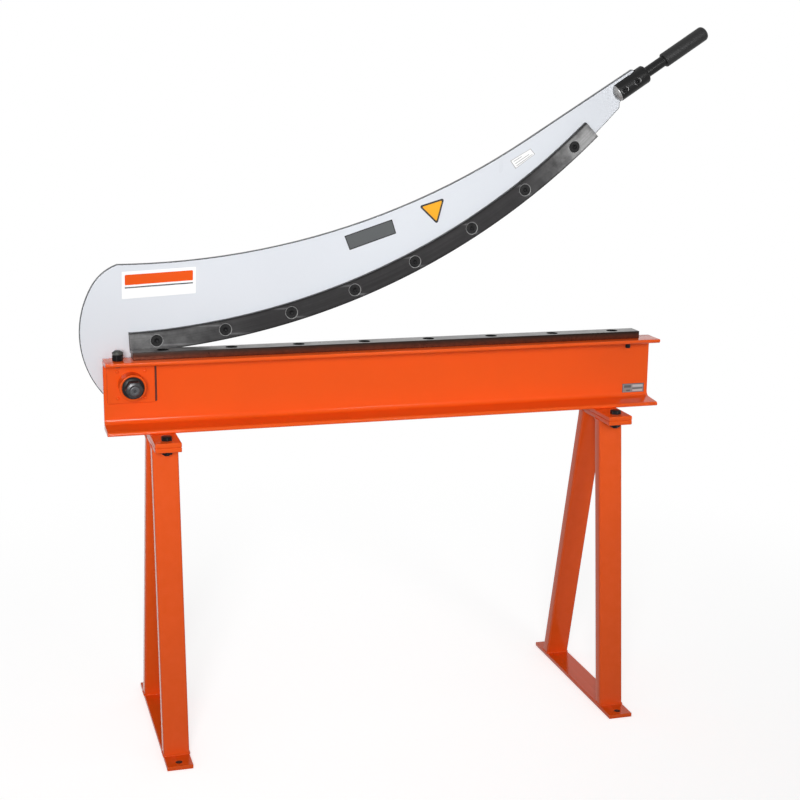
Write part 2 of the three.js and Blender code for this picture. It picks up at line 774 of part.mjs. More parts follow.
function handleSocket() {
  const radius = socketDiameter / 2;
  const domeRadius = (radius ** 2 + socketDome ** 2) / (2 * socketDome);
  const domeHalf = Math.asin(radius / domeRadius);
  const dome = arc(domeRadius - socketDome, 0, domeRadius, Math.PI, Math.PI - domeHalf);
  const bore = barDiameter / 2 + holeGap;
  const end = arc(socketLength - socketEdge, radius - socketEdge, socketEdge, Math.PI / 2, 0);
  const blank = revolveAhead([
    [0, -socketDome],
    ...[...dome.slice(1), ...end].map((spot) => [spot.y, spot.x]),
    [bore, socketLength],
    [bore, socketLength - barInSocket],
    [0, socketLength - barInSocket],
  ]);
  const slotEnd = socketSetback + slotBeyondTongue;
  const slot = alongZ(outline(rectangle(
    -socketDome - overrun, -armThickness / 2 - seatGap,
    slotEnd, armThickness / 2 + seatGap,
  )), -radius - overrun, socketDiameter + 2 * overrun);
  const seat = handleScrewFace + handleScrewHeadHeight;
  const head = handleScrewHead / 2 + holeGap;
  const screwHole = revolve([
    [0, socketFront - overrun],
    [head + handleScrewBevel + overrun, socketFront - overrun],
    [head + handleScrewBevel, socketFront],
    [head, socketFront + handleScrewBevel],
    [head, seat + seatGap],
    [handleScrewDiameter / 2 + holeGap, seat + seatGap],
    [handleScrewDiameter / 2 + holeGap, seat + handleScrewLength + overrun],
    [0, seat + handleScrewLength + overrun],
  ], smallSides);
  return cut(blank, [slot, ...handleScrewX.map((x) => at(screwHole, x, 0, 0))]);
}

// Cap screw along Y, its socket to the front
function handleScrew() {
  const seat = handleScrewFace + handleScrewHeadHeight;
  const blank = revolve([
    [0, handleScrewFace],
    [handleScrewHead / 2, handleScrewFace],
    [handleScrewHead / 2, seat],
    [handleScrewDiameter / 2, seat],
    [handleScrewDiameter / 2, seat + handleScrewLength],
    [0, seat + handleScrewLength],
  ], smallSides);
  const recessEnd = handleScrewFace + handleScrewSocketDepth;
  return cut(blank, [rod(handleScrewSocket / Math.sqrt(3), handleScrewFace - overrun, recessEnd, 6)]);
}

const barStart = socketLength - barInSocket + seatGap;
const gripStart = socketLength + barVisible;

function handleGrip() {
  const radius = gripDiameter / 2;
  const bore = barDiameter / 2 + holeGap;
  const end = gripStart + gripLength;
  return revolveAhead([
    [bore, gripStart],
    ...arc(gripStart + gripFrontRadius, radius - gripFrontRadius, gripFrontRadius, Math.PI, Math.PI / 2)
      .map((spot) => [spot.y, spot.x]),
    ...arc(end - gripEndRadius, radius - gripEndRadius, gripEndRadius, Math.PI / 2, 0)
      .map((spot) => [spot.y, spot.x]),
    [0, end],
    [0, gripStart + barInGrip + seatGap],
    [bore, gripStart + barInGrip + seatGap],
    [bore, gripStart],
  ]);
}

add(arm, 'arm_plate', whitePaint, armPlate());
add(arm, 'upper_blade', bladeSteel, upperBlade());
upperScrews.forEach((place, i) => {
  const screw = bladeScrew(upperBladeThickness + armThickness - upperScrewShort).rotateX(Math.PI / 2);
  add(arm, `upper_blade_screw_${i + 1}`, blackOxide, at(screw, place.x, bladeGap, place.y));
});
add(arm, 'pivot_shaft', brightSteel, pivotShaft());
add(arm, 'pivot_nut', blackOxide, pivotNut());

const handle = new THREE.Group();
handle.position.set(handleStart.x, armMiddle, handleStart.y);
handle.rotation.y = -handleTurn;
arm.add(handle);
add(handle, 'handle_socket', blackPaint, handleSocket());
handleScrewX.forEach((x, i) => {
  add(handle, `handle_screw_${i + 1}`, blackOxide, at(handleScrew(), x, 0, 0));
});
const bar = rod(barDiameter / 2, barStart, gripStart + barInGrip).rotateZ(-Math.PI / 2);
add(handle, 'handle_bar', blackPaint, bar);
add(handle, 'handle_grip', blackPlastic, handleGrip());

// Origin under the middle of the whole shear, on the floor

const box = new THREE.Box3().setFromObject(machine);
const middle = box.getCenter(new THREE.Vector3());
machine.position.set(-middle.x, -middle.y, -box.min.z);

export default machine;
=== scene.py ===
"""Looks of the guillotine shear: finer pieces, finishes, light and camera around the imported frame."""

import json
import math

import bmesh
import bpy
import numpy as np
from mathutils import Matrix, Vector
from mathutils.geometry import tessellate_polygon


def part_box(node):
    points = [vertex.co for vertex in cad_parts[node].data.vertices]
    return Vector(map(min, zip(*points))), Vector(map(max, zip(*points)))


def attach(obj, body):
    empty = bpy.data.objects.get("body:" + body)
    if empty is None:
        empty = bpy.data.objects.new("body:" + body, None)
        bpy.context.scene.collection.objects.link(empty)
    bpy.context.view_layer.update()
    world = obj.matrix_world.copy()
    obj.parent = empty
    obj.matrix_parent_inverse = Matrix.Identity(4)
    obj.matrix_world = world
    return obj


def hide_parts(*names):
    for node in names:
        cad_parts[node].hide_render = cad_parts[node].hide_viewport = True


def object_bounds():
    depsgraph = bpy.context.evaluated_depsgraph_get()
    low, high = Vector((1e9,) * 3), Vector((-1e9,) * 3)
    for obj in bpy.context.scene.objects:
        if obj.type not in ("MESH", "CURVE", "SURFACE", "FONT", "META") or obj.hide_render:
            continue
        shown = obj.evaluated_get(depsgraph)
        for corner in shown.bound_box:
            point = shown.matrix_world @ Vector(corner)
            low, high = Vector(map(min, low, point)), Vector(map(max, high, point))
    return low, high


bl_info = {
    "name": "Guillotine Shear",
    "version": (1, 0, 0),
    "blender": (4, 5, 0),
    "location": "3D View > Sidebar > Shear",
    "description": "Builds the visible pieces of a hand guillotine shear around its frame",
    "category": "Object",
}

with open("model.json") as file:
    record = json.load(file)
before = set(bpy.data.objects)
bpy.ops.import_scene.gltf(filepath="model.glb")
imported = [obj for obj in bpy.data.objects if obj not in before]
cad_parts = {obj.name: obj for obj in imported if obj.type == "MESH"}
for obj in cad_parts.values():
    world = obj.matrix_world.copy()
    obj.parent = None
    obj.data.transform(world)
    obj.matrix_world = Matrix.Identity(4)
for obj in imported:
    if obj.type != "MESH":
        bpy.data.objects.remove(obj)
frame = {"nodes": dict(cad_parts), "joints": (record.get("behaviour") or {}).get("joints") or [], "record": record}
CAD_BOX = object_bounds()

MM = 0.001
QUARTER = math.pi / 2
GAP = 0.3 * MM
NODES = frame["nodes"]
BODY_OF = {node: body for body, nodes in frame["record"]["behaviour"]["bodies"].items() for node in nodes}
PIVOT = Vector(frame["joints"][0]["pos_m"])

# Directions, and the planes of flat pieces: across, up, and the way through the thickness

RIGHT = (1, 0, 0)
BACK = (0, 1, 0)
FRONT = (0, -1, 0)
UP = (0, 0, 1)
FACING_FRONT = (RIGHT, UP, BACK)
LYING_FLAT = (RIGHT, BACK, (0, 0, -1))
STANDING_UP = (RIGHT, BACK, UP)
ALONG_BED = (BACK, UP, RIGHT)

# The shear's own corner: left end of the bed, shear plane, top of the upper flange

BED_LOW, BED_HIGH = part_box("bed_channel")
CORNER = Vector((BED_LOW.x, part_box("upper_blade")[0].y - GAP, BED_HIGH.z))

# Sizes of the pieces

WEB = 7 * MM
FLANGE = 10 * MM
FLANGE_TAPER = 0.08
ROOT_ROUND = 10 * MM
TOE_ROUND = 5 * MM
WEB_FRONT = BED_HIGH.y - WEB

BLADE_RADIUS = 1429 * MM
BLADE_WIDTH = 38 * MM
BLADE_HEEL = math.radians(2.18)
BLADE_LENGTH = 1040.5 * MM
BLADE_SCREWS = range(1, 9)
BLADE_SCREW_HEAD = 11 * MM
BLADE_SCREW_SHANK = 6 * MM
BLADE_SCREW_KEY = 4 * MM
LOWER_SCREW_SINK = 2.6 * MM
TONGUE_THREAD = 3.3 * MM

SCREW_SOFT = 0.3 * MM
DRILL_SHARE = 0.8
DRILL_DEPTH_SHARE = 0.3
CAP_HEIGHT_SHARE = 1.2

HEX_FLATS = 19 * MM
HEX_SHANK = 6 * MM
HEX_HEAD = 8 * MM
HEX_CHAMFER = 0.25 * MM
HEX_CONE = math.radians(32)
HEX_FACE_SHARE = 0.93
PEAKED_FACE_SHARE = 0.5
ROD_CHAMFER = 0.8 * MM

BOSS_RADIUS = 25 * MM
BOSS_RECESS = 21.5 * MM
BOSS_BORE = 16.8 * MM
BOSS_WELD = 1.2 * MM
WASHER_RADIUS = 21 * MM
SPRING_RADIUS = 19 * MM
SPRING_SHEET = 1.2 * MM
PIVOT_NUT_FLATS = 30 * MM
SHAFT_BODY = 12.5 * MM
SHAFT_FLANGE = 25 * MM
THREAD_RADIUS = 10 * MM
THREAD_DEPTH = 0.45 * MM
THREAD_PITCH = 1.25 * MM
THREAD_CHAMFER = 1.6 * MM
RIVET_HEAD = 2.5 * MM
RIVET_SHANK = 2.5 * MM
RIVET_DOME = 0.9 * RIVET_HEAD
SHADOW_STRIP_WIDTH = 5 * MM
SHADOW_STRIP_RISE = 1.5 * MM

HANDLE_TURN = math.radians(33)
HANDLE_AHEAD = Vector((math.cos(HANDLE_TURN), 0, math.sin(HANDLE_TURN)))
HANDLE_ACROSS = Vector((-math.sin(HANDLE_TURN), 0, math.cos(HANDLE_TURN)))
SOCKET_RADIUS = 19 * MM
SOCKET_LENGTH = 73 * MM
SOCKET_DOME = 11 * MM
DOME_MARGIN = 0.2 * MM
SOCKET_ROUND = 5 * MM
SOCKET_TO_SCREW = 11 * MM
SLOT_HALF = 5.3 * MM
SLOT_END = 54.5 * MM
HANDLE_SCREW_HEAD = 6.5 * MM
HANDLE_SCREW_SHANK = 4 * MM
HANDLE_SCREW_KEY = 3 * MM
RECESS_RADIUS = 6.8 * MM
RECESS_DEPTH = 8.3 * MM
RECESS_BEVEL = 1.1 * MM
BEVEL_LEAN = (-0.9, -0.5)
RECESS_FACE = 1.5 * MM
BAR_RADIUS = 11 * MM
BAR_SEAT = 12 * MM
BAR_IN_GRIP = 85 * MM
GRIP_START = SOCKET_LENGTH + 46 * MM
GRIP_LENGTH = 107 * MM
GRIP_RADIUS = 15 * MM
GRIP_LIP = 2 * MM
GRIP_ROUND = 9 * MM

WELD_SIDES = 14
WELD_RIPPLE = 0.14
WELD_UNEVEN = ((0.05, 173, 0), (0.04, 631, 1))
LEG_CORNER = 4 * MM
LEG_WALL = 2.5 * MM
ANCHOR_HOLE = 6 * MM
ANCHOR_INSET = 18 * MM
STACK_PLATE_EDGE = 1.6 * MM

# Corners of the labels, in millimetres right of and above the shear's corner, counter-clockwise

WHITE_STICKER = ((42, 110), (183, 117), (184, 168), (43, 162))
SLATE_PLATE = ((488, 192), (583, 223), (574, 251), (477, 220))
AMBER_STICKER = ((668, 239), (682, 291.5), (629, 276))
SMALL_STICKER = ((831, 347), (872, 376), (862, 387), (819, 363))
NAME_PLATE = ((1075, -122), (1124, -122), (1124, -102), (1075, -102))

# Camera, as fitted to the photograph, from the shear's corner; lamps, surroundings and floor

CAMERA_PLACE = Vector((-262.83, -2902.51, 566.56)) * MM
CAMERA_RIGHT = Vector((0.95996, -0.27995, 0.00987))
CAMERA_UP = Vector((0.05209, 0.21303, 0.97566))
CAMERA_BACK = Vector((-0.27524, -0.93608, 0.21908))
CAMERA_LENS = 69.04
CAMERA_SENSOR = 36.0
CAMERA_REACH = 200.0
KEY_PLACE = Vector((-1.2, -3.5, 1.55))
KEY_AIM = Vector((-0.38, 0.0, 1.12))
KEY_SIZE = 1.0
KEY_POWER = 11.4
KEY_SPREAD = math.radians(58)
FILL_PLACE = Vector((0.9, -3.2, 1.75))
FILL_AIM = Vector((0.52, 0.0, 1.02))
FILL_SIZE = 0.9
FILL_POWER = 1.5
FILL_SPREAD = math.radians(34)
WORLD_STRENGTH = 0.34
FLOOR_HALF = 40.0
FLOOR_COLOUR = (0.45, 0.45, 0.45)
FLOOR_SEEN = (0.85, 0.85, 0.85)
FLOOR_LIFT = 0.6
FLOOR_ROUGHNESS = 0.9
FADE_START = 0.5
FADE_END = 1.9


# Sizes and colours that a user would change

def length_setting(title, words, value):
    """Length property, in metres."""
    return bpy.props.FloatProperty(name=title, description=words, default=value, min=0.0, unit="LENGTH")


def colour_setting(title, words, value):
    """Colour property, in linear light."""
    return bpy.props.FloatVectorProperty(
        name=title, description=words, default=value, min=0.0, max=1.0, size=3, subtype="COLOR")


class ShearSizes(bpy.types.PropertyGroup):
    """Sizes of the details that the frame doesn't hold"""
    plate_edge: length_setting("Plate Edge", "Rounding along the edges of plates and blades", 0.9 * MM)
    arm_edge: length_setting("Arm Edge Rounding", "Rounding along the arm plate's edges", 1.8 * MM)
    channel_edge: length_setting("Channel Edge", "Rounding of the channel's outer corners", 2.2 * MM)
    weld_width: length_setting("Weld Width", "Width of the welds on the stands", 3.6 * MM)
    weld_pitch: length_setting("Weld Pitch", "Distance between the ripples of a weld", 3.0 * MM)
    label_thickness: length_setting("Label Thickness", "Thickness of stickers and plates", 0.25 * MM)


class ShearColours(bpy.types.PropertyGroup):
    """Colours of the finishes, in linear light"""
    orange: colour_setting("Orange Paint", "Gloss paint of bed and stands", (0.86, 0.099, 0.008))
    # Painted shade: darker orange-brown on the walls of the anchor holes
    hole: colour_setting("Hole Paint", "Paint in the shade of the anchor holes", (0.1, 0.024, 0.012))
    # Painted shadow: a dark strip beside the pivot's plate that stands for the shadow at its edge
    bead: colour_setting("Dark Bead", "Bead beside the pivot's plate", (0.09, 0.02, 0.012))
    white: colour_setting("Arm Paint", "Bluish white paint of the arm plate", (0.72, 0.748, 0.795))
    # Painted shade: grey on the arm plate's rounded edges
    arm_edge: colour_setting("Arm Edge", "Grey of the arm plate's cut edge", (0.11, 0.115, 0.125))
    blade: colour_setting("Upper Blade", "Dark ground steel of the upper blade", (0.031, 0.03, 0.031))
    # Painted highlight: lighter, patchy steel at the upper blade's heel and tip
    blade_end: colour_setting("Blade Ends", "Lighter steel at the upper blade's ends", (0.25, 0.25, 0.25))
    # Lower blade: lighter top and near-black sides are painted reflection, light above and dark in front
    blade_top_light_reflection: colour_setting("Lower Blade Top", "Ground top of the lower blade", (0.19, 0.185, 0.185))
    blade_side_dark_reflection: colour_setting("Lower Blade Side", "Scaled sides of the lower blade", (0.014, 0.007, 0.005))
    # Orange-brown towards the lower blade's foot: painted reflection of the orange flange
    blade_foot_flange_reflection: colour_setting("Blade Foot", "Paint mist on the lower blade's foot", (0.14, 0.036, 0.017))
    blade_worn: colour_setting("Worn Blade", "Bright steel on the blades' edges", (0.42, 0.42, 0.43))
    # Bare steel of the upper countersinks, made light grey as their painted highlight
    countersink_highlight: colour_setting("Blade Holes", "Steel of the upper countersinks", (0.4, 0.4, 0.4))
    oxide: colour_setting("Black Oxide", "Finish of bolts, nuts and screws", (0.007, 0.007, 0.0075))
    oxide_worn: colour_setting("Worn Oxide", "Steel on the edges of the oxide", (0.2, 0.2, 0.2))
    grey_oxide: colour_setting("Grey Oxide", "Faded finish of the bed's bolt", (0.06, 0.064, 0.058))
    nut: colour_setting("Nut Steel", "Steel of the pivot's nut", (0.045, 0.045, 0.047))
    shaft: colour_setting("Shaft Steel", "Turned steel of the pivot's shaft", (0.09, 0.09, 0.095))
    bronze: colour_setting("Bearing Bronze", "Bush of the pivot", (0.5, 0.32, 0.14))
    black: colour_setting("Black", "Black of the handle", (0.0025, 0.0025, 0.0028))
    dome: colour_setting("Socket End", "Turned steel of the socket's dome", (0.34, 0.34, 0.34))
    # Bare steel bevels round the handle's screws, in an even light grey as a painted highlight
    screw_bevel_highlight: colour_setting("Screw Rings", "Bare bevels round the handle's screws", (0.5, 0.5, 0.5))
    sticker: colour_setting("Sticker", "Plain white sticker", (0.97, 0.97, 0.97))
    sticker_line: colour_setting("Sticker Line", "Grey lines of the small sticker", (0.4, 0.4, 0.41))
    sign: colour_setting("Sign Black", "Rims of the amber sticker and dark plate", (0.02, 0.02, 0.022))
    amber: colour_setting("Amber", "Plain amber sticker", (0.93, 0.42, 0.012))
    slate: colour_setting("Slate", "Dark grey plate on the arm", (0.095, 0.101, 0.105))
    plate: colour_setting("Name Plate", "Steel of the plate on the bed", (0.3, 0.29, 0.29))
    plate_field: colour_setting("Plate Field", "Light fields of that plate", (0.5, 0.49, 0.5))


def sizes():
    return bpy.context.scene.shear_sizes


def colours():
    return bpy.context.scene.shear_colours


# Meshes from numpy arrays. A flat ring is as wide as it says, or that share of the wall where less,
# and a sliver is twice the area under which a triangle is left out

SMOOTH_ANGLE = math.radians(38)
DOUBLES = 0.002 * MM
FLAT_RING = 0.3 * MM
FLAT_RING_SHARE = 0.4
SLIVER = 1e-16
SAME_SPOT = 0.02 * MM
SAME_PLANE = 0.05 * MM


def make_piece(name, node, points, faces, finish, smooth=None):
    """Object from an (n, 3) array in metres, which moves with the body of its CAD node. The first
    faces, as many as smooth says, are smooth and the others flat; without it all are smooth."""
    mesh = bpy.data.meshes.new(name)
    mesh.from_pydata(points.tolist(), [], faces)
    smooth = len(faces) if smooth is None else smooth
    mesh.polygons.foreach_set("use_smooth", np.arange(len(faces)) < smooth)
    mesh.set_sharp_from_angle(angle=SMOOTH_ANGLE)
    mesh.validate()
    mesh.update()
    piece = bpy.data.objects.new(name, mesh)
    bpy.context.scene.collection.objects.link(piece)
    mesh.materials.append(finish_of(finish))
    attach(piece, BODY_OF[node])
    return piece


def plain_object(name, points, faces):
    """Object without a finish, for the floor and for cutters."""
    mesh = bpy.data.meshes.new(name)
    mesh.from_pydata(points, [], faces)
    piece = bpy.data.objects.new(name, mesh)
    bpy.context.scene.collection.objects.link(piece)
    bpy.context.view_layer.update()
    return piece


def values_of(items, key, width=3, kind=float):
    """Array of one property of a mesh's points, corners or faces, width values to a row."""
    values = np.empty(len(items) * width, kind)
    items.foreach_get(key, values)
    return values.reshape(-1, width)


def merge_doubles(piece):
    """Joins points that lie together, such as those of a pole, and turns the faces outwards."""
    work = bmesh.new()
    work.from_mesh(piece.data)
    bmesh.ops.remove_doubles(work, verts=work.verts, dist=DOUBLES)
    bmesh.ops.recalc_face_normals(work, faces=work.faces)
    work.to_mesh(piece.data)
    work.free()
    piece.data.set_sharp_from_angle(angle=SMOOTH_ANGLE)
    piece.data.update()


def grid_faces(rows, columns, start=0):
    """Quads between neighbouring rows of a grid that is closed round its columns."""
    r, c = np.meshgrid(np.arange(rows - 1), np.arange(columns), indexing="ij")
    a = start + r * columns + c
    b = start + r * columns + (c + 1) % columns
    return np.stack([a, b, b + columns, a + columns], axis=-1).reshape(-1, 4).tolist()


def edge_normals(edges):
    """Unit normals to the right of the edges, which is outwards on a counter-clockwise loop."""
    return np.stack([edges[:, 1], -edges[:, 0]], axis=1) / np.linalg.norm(edges, axis=1)[:, None]


def outward(loop):
    """Mitred normals of a counter-clockwise closed loop: the sum of both edge normals over one plus
    their dot product, so that both edges move by the same amount."""
    a = edge_normals(loop - np.roll(loop, 1, axis=0))
    b = edge_normals(np.roll(loop, -1, axis=0) - loop)
    return (a + b) / (1 + (a * b).sum(axis=1))[:, None]


def signed_area(loop):
    """Area inside a closed loop, positive if it runs counter-clockwise."""
    x, y = loop[:, 0], loop[:, 1]
    return 0.5 * np.sum(x * np.roll(y, -1) - y * np.roll(x, -1))


def arc(centre, radius, start, stop, count):
    """Points of an arc: centre + radius times (cos, sin) of angles from start to stop. A pair of
    radii makes it elliptic."""
    turn = np.linspace(start, stop, count)
    return np.array(centre) + np.array(radius) * np.stack([np.cos(turn), np.sin(turn)], axis=1)


def circle(x, y, radius, sides=40):
    """Counter-clockwise points at equal angles round (x, y)."""
    turn = np.arange(sides) * 2 * math.pi / sides
    return np.stack([x + radius * np.cos(turn), y + radius * np.sin(turn)], axis=1)


def rounded_loop(corners, radii, steps=5):
    """Counter-clockwise outline through straight corners, each turned into an arc that touches both
    of its edges. Radii is one radius or one for each corner."""
    corners = np.array(corners, float)
    before, after = np.roll(corners, 1, axis=0), np.roll(corners, -1, axis=0)
    out = []
    for corner, last, following, radius in zip(corners, before, after, np.broadcast_to(radii, len(corners))):
        if radius <= 0:
            out.append(corner[None])
            continue
        a = (last - corner) / np.linalg.norm(last - corner)
        b = (following - corner) / np.linalg.norm(following - corner)
        half = math.acos(np.clip(np.dot(a, b), -1, 1)) / 2
        centre = corner + (a + b) / np.linalg.norm(a + b) * radius / math.sin(half)
        start = corner + a * radius / math.tan(half) - centre
        end = corner + b * radius / math.tan(half) - centre
        first = math.atan2(start[1], start[0])
        turn = math.atan2(start[0] * end[1] - start[1] * end[0], np.dot(start, end))
        out.append(arc(centre, radius, first, first + turn, steps + 1))
    return np.concatenate(out)


def box_loop(low, high, radius, steps=5):
    """Rounded rectangle from corner low to corner high."""
    corners = [(low[0], low[1]), (high[0], low[1]), (high[0], high[1]), (low[0], high[1])]
    return rounded_loop(corners, radius, steps)


def rounded_edge(depth, edge, steps=3):
    """Rows (growth, depth) of an outer wall whose two rims are quarter circles of radius edge."""
    front = arc((-edge, edge), edge, -QUARTER, 0, steps + 1)
    back = np.stack([front[::-1, 0], depth - front[::-1, 1]], axis=1)
    return np.concatenate([front, back])


def hole_rows(depth, chamfer=0.4 * MM):
    """Rows of a through hole with a small chamfer at both faces."""
    return [(chamfer, 0), (0, chamfer), (0, depth - chamfer), (chamfer, depth)]


def countersink(depth, rim=1.5 * MM, fall=5.0 * MM, bevel=0.9 * MM):
    """Rows of a countersunk hole: small bevel, straight rim, 45 degree cone, straight bore."""
    return [(bevel, 0), (0, bevel), (0, rim), (-fall, rim + fall), (-fall, depth)]


def with_flat_rings(rows, is_hole):
    """Rows with a narrow flat ring before the first and after the last. It keeps the bend of the
    rim, which the edge wear and the painted edge highlight read at the points, off the wide faces."""
    rows = np.array(rows, float)
    ring = min(FLAT_RING, FLAT_RING_SHARE * (rows[-1, 1] - rows[0, 1])) * (1 if is_hole else -1)
    return np.concatenate([[rows[0] + (ring, 0)], rows, [rows[-1] + (ring, 0)]])


def cap_faces(rims, upwards):
    """Triangles between the rims of a flat face, given as (points, number of the first point). They
    run counter-clockwise in the plane if the face looks upwards from it."""
    index = np.concatenate([start + np.arange(len(ring)) for ring, start in rims])
    flat = np.concatenate([ring for ring, _ in rims])
    faces = []
    for a, b, c in tessellate_polygon([[Vector((*spot, 0.0)) for spot in ring] for ring, _ in rims]):
        area = np.cross(flat[b] - flat[a], flat[c] - flat[a])
        if abs(area) >= SLIVER:
            faces.append([int(index[i]) for i in ((a, b, c) if (area > 0) == upwards else (c, b, a))])
    return faces


def slab(name, node, loops, origin, plane, finish, hole_finish=None):
    """Solid between two parallel faces. Each loop is (points, rows): the points lie along the
    plane's first two directions, and row (growth, depth) moves them along their outward normals by
    growth and along the third direction by depth. The first loop is the outer wall and the others
    are holes, whose walls may have a finish of their own."""
    origin, across, up, through = (np.array(v, float) for v in (origin, *plane))
    left_handed = bool(np.dot(np.cross(across, up), through) < 0)
    points, walls, first_rims, last_rims, count = [], [], [], [], 0
    for number, (loop, rows) in enumerate(loops):
        is_hole = number > 0
        rows = with_flat_rings(rows, is_hole)
        flat = loop[None] + outward(loop)[None] * rows[:, 0, None, None]
        solid = origin + flat[..., :1] * across + flat[..., 1:] * up + rows[:, 1, None, None] * through
        points.append(solid.reshape(-1, 3))
        quads = grid_faces(len(rows), len(loop), count)
        walls.append([quad[::-1] for quad in quads] if left_handed ^ is_hole else quads)
        first_rims.append((flat[0], count))
        last_rims.append((flat[-1], count + (len(rows) - 1) * len(loop)))
        count += len(rows) * len(loop)
    sides = [quad for wall in walls for quad in wall]
    faces = sides + cap_faces(first_rims, left_handed) + cap_faces(last_rims, not left_handed)
    piece = make_piece(name, node, np.concatenate(points), faces, finish, len(sides))
    if hole_finish is not None:
        piece.data.materials.append(finish_of(hole_finish))
        numbers = np.arange(len(piece.data.polygons))
        in_hole = (numbers >= len(walls[0])) & (numbers < len(sides))
        piece.data.polygons.foreach_set("material_index", in_hole.astype(int))
    return piece


def rim_of(node, axis, value):
    """Outer outline of a node's flat face: the edges of the triangles in the plane that are used by
    only one of them, followed round, for the loop with the largest area, counter-clockwise."""
    mesh = NODES[node].data
    spots = values_of(mesh.vertices, "co")
    corners = values_of(mesh.loops, "vertex_index", 1, int)[:, 0]
    keys = np.round(spots / SAME_SPOT).astype(int)
    _, first, same = np.unique(keys, axis=0, return_index=True, return_inverse=True)
    triangles = same.reshape(-1)[corners].reshape(-1, 3)
    flat = np.abs(spots[first][triangles][:, :, axis] - value).max(axis=1) < SAME_PLANE
    edges = {(int(t[i]), int(t[(i + 1) % 3])) for t in triangles[flat] for i in range(3)}
    follow = {a: b for a, b in edges if (b, a) not in edges}
    plane = [i for i in range(3) if i != axis]
    largest = np.zeros((3, 2))
    while follow:
        at, ring = next(iter(follow)), []
        while at in follow:
            ring.append(at)
            at = follow.pop(at)
        loop = spots[first][ring][:, plane]
        if abs(signed_area(loop)) > abs(signed_area(largest)):
            largest = loop
    return largest if signed_area(largest) > 0 else largest[::-1]


def ring_points(radius, height, origin, axis, side):
    """Points of rings round an axis: origin + height * axis + radius * (cos * side + sin * across),
    where across is the cross product of axis and side. Radius is a (rings, turns) array."""
    origin, axis, side = (np.array(v, float) for v in (origin, axis, side))
    axis, side = axis / np.linalg.norm(axis), side / np.linalg.norm(side)
    turn = np.arange(radius.shape[1]) * 2 * math.pi / radius.shape[1]
    spots = (origin + height[:, None, None] * axis + (radius * np.cos(turn))[..., None] * side
             + (radius * np.sin(turn))[..., None] * np.cross(axis, side))
    return spots.reshape(-1, 3)


# Marks of a ring: round, hexagonal, hexagonal with softened corners, or round until it meets the
# hexagon's faces

ROUND = 0
HEXAGON = 1
WORN_HEXAGON = 0.8
CONE = -1


def ring_stack(name, node, rings, origin, axis, side, finish, turns=48):
    """Closed surface round an axis. Ring (radius, height, mark) has, at each angle, the radius times
    1 for a circle or times the radius of a hexagon whose inner radius is 1, mixed by a mark between
    the two. A cone ring has the smaller of its own radius and the hexagon of the widest hexagonal
    ring. A ring of radius zero becomes a pole."""
    turn = np.arange(turns) * 2 * math.pi / turns
    hexagon = 1 / np.cos((turn + math.pi / 6) % (math.pi / 3) - math.pi / 6)
    rings = np.array([(*ring, ROUND)[:3] for ring in rings], float)
    cone = rings[:, 2] == CONE
    share = np.where(cone, ROUND, rings[:, 2])[:, None]
    radius = rings[:, :1] * (1 + share * (hexagon[None] - 1))
    if cone.any():
        flats = rings[rings[:, 2] == HEXAGON][:, 0]
        limit = flats.max() if len(flats) else rings[cone][:, 0].max() * math.cos(math.pi / 6)
        radius = np.where(cone[:, None], np.minimum(radius, limit * hexagon[None]), radius)
    points = ring_points(radius, rings[:, 1], origin, axis, side)
    piece = make_piece(name, node, points, grid_faces(len(rings), turns), finish)
    merge_doubles(piece)
    return piece


def turned_profile(corners, edge, steps=3):
    """Profile (radius, height) whose inner corners are bent round over the length edge, each by the
    curve (1 - t)^2 a + 2 t (1 - t) corner + t^2 b between its two cuts a and b."""
    corners = np.array(corners, float)
    bend = np.linspace(0, 1, steps + 1)[:, None]
    out = [corners[0]]
    for before, corner, after in zip(corners[:-2], corners[1:-1], corners[2:]):
        a, b = before - corner, after - corner
        cut = min(edge, np.linalg.norm(a) / 2, np.linalg.norm(b) / 2)
        a, b = corner + a / np.linalg.norm(a) * cut, corner + b / np.linalg.norm(b) * cut
        out.extend((1 - bend) ** 2 * a + 2 * bend * (1 - bend) * corner + bend ** 2 * b)
    out.append(corners[-1])
    return out


def centre_of(node):
    low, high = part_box(node)
    return (low + high) / 2


# Shader nodes, and the groups that several finishes share

def add(tree, kind, inputs=None, **settings):
    """One node with its settings; an input is a value or the output socket that feeds it."""
    node = tree.nodes.new(kind)
    for key, value in settings.items():
        setattr(node, key, value)
    for key, value in (inputs or {}).items():
        if isinstance(value, bpy.types.NodeSocket):
            tree.links.new(value, node.inputs[key])
        else:
            node.inputs[key].default_value = value
    return node


def maths(tree, operation, *values):
    return add(tree, "ShaderNodeMath", dict(enumerate(values)), operation=operation).outputs[0]


def vector_maths(tree, operation, *values):
    return add(tree, "ShaderNodeVectorMath", dict(enumerate(values)), operation=operation).outputs


def noise(tree, place, scale, detail, roughness=0.5):
    values = {"Vector": place, "Scale": scale, "Detail": detail, "Roughness": roughness}
    return add(tree, "ShaderNodeTexNoise", values).outputs["Fac"]


def ramp(tree, value, start, end, low=0.0, high=1.0, kind="LINEAR"):
    """Maps start to end onto low to high, and keeps to them outside."""
    values = {"Value": value, "From Min": start, "From Max": end, "To Min": low, "To Max": high}
    return add(tree, "ShaderNodeMapRange", values, interpolation_type=kind).outputs["Result"]


def spread(tree, value, low=0.0, high=1.0):
    """Maps a noise value of about 0.3 to 0.7 onto low to high."""
    return ramp(tree, value, 0.3, 0.7, low, high)


def mix_colour(tree, factor, first, second):
    """Second over first by the factor; each colour is three numbers or a socket."""
    node = add(tree, "ShaderNodeMix", {0: factor}, data_type="RGBA")
    for socket, value in ((node.inputs[6], first), (node.inputs[7], second)):
        if isinstance(value, bpy.types.NodeSocket):
            tree.links.new(value, socket)
        else:
            socket.default_value = (*value[:3], 1.0)
    return node.outputs[2]


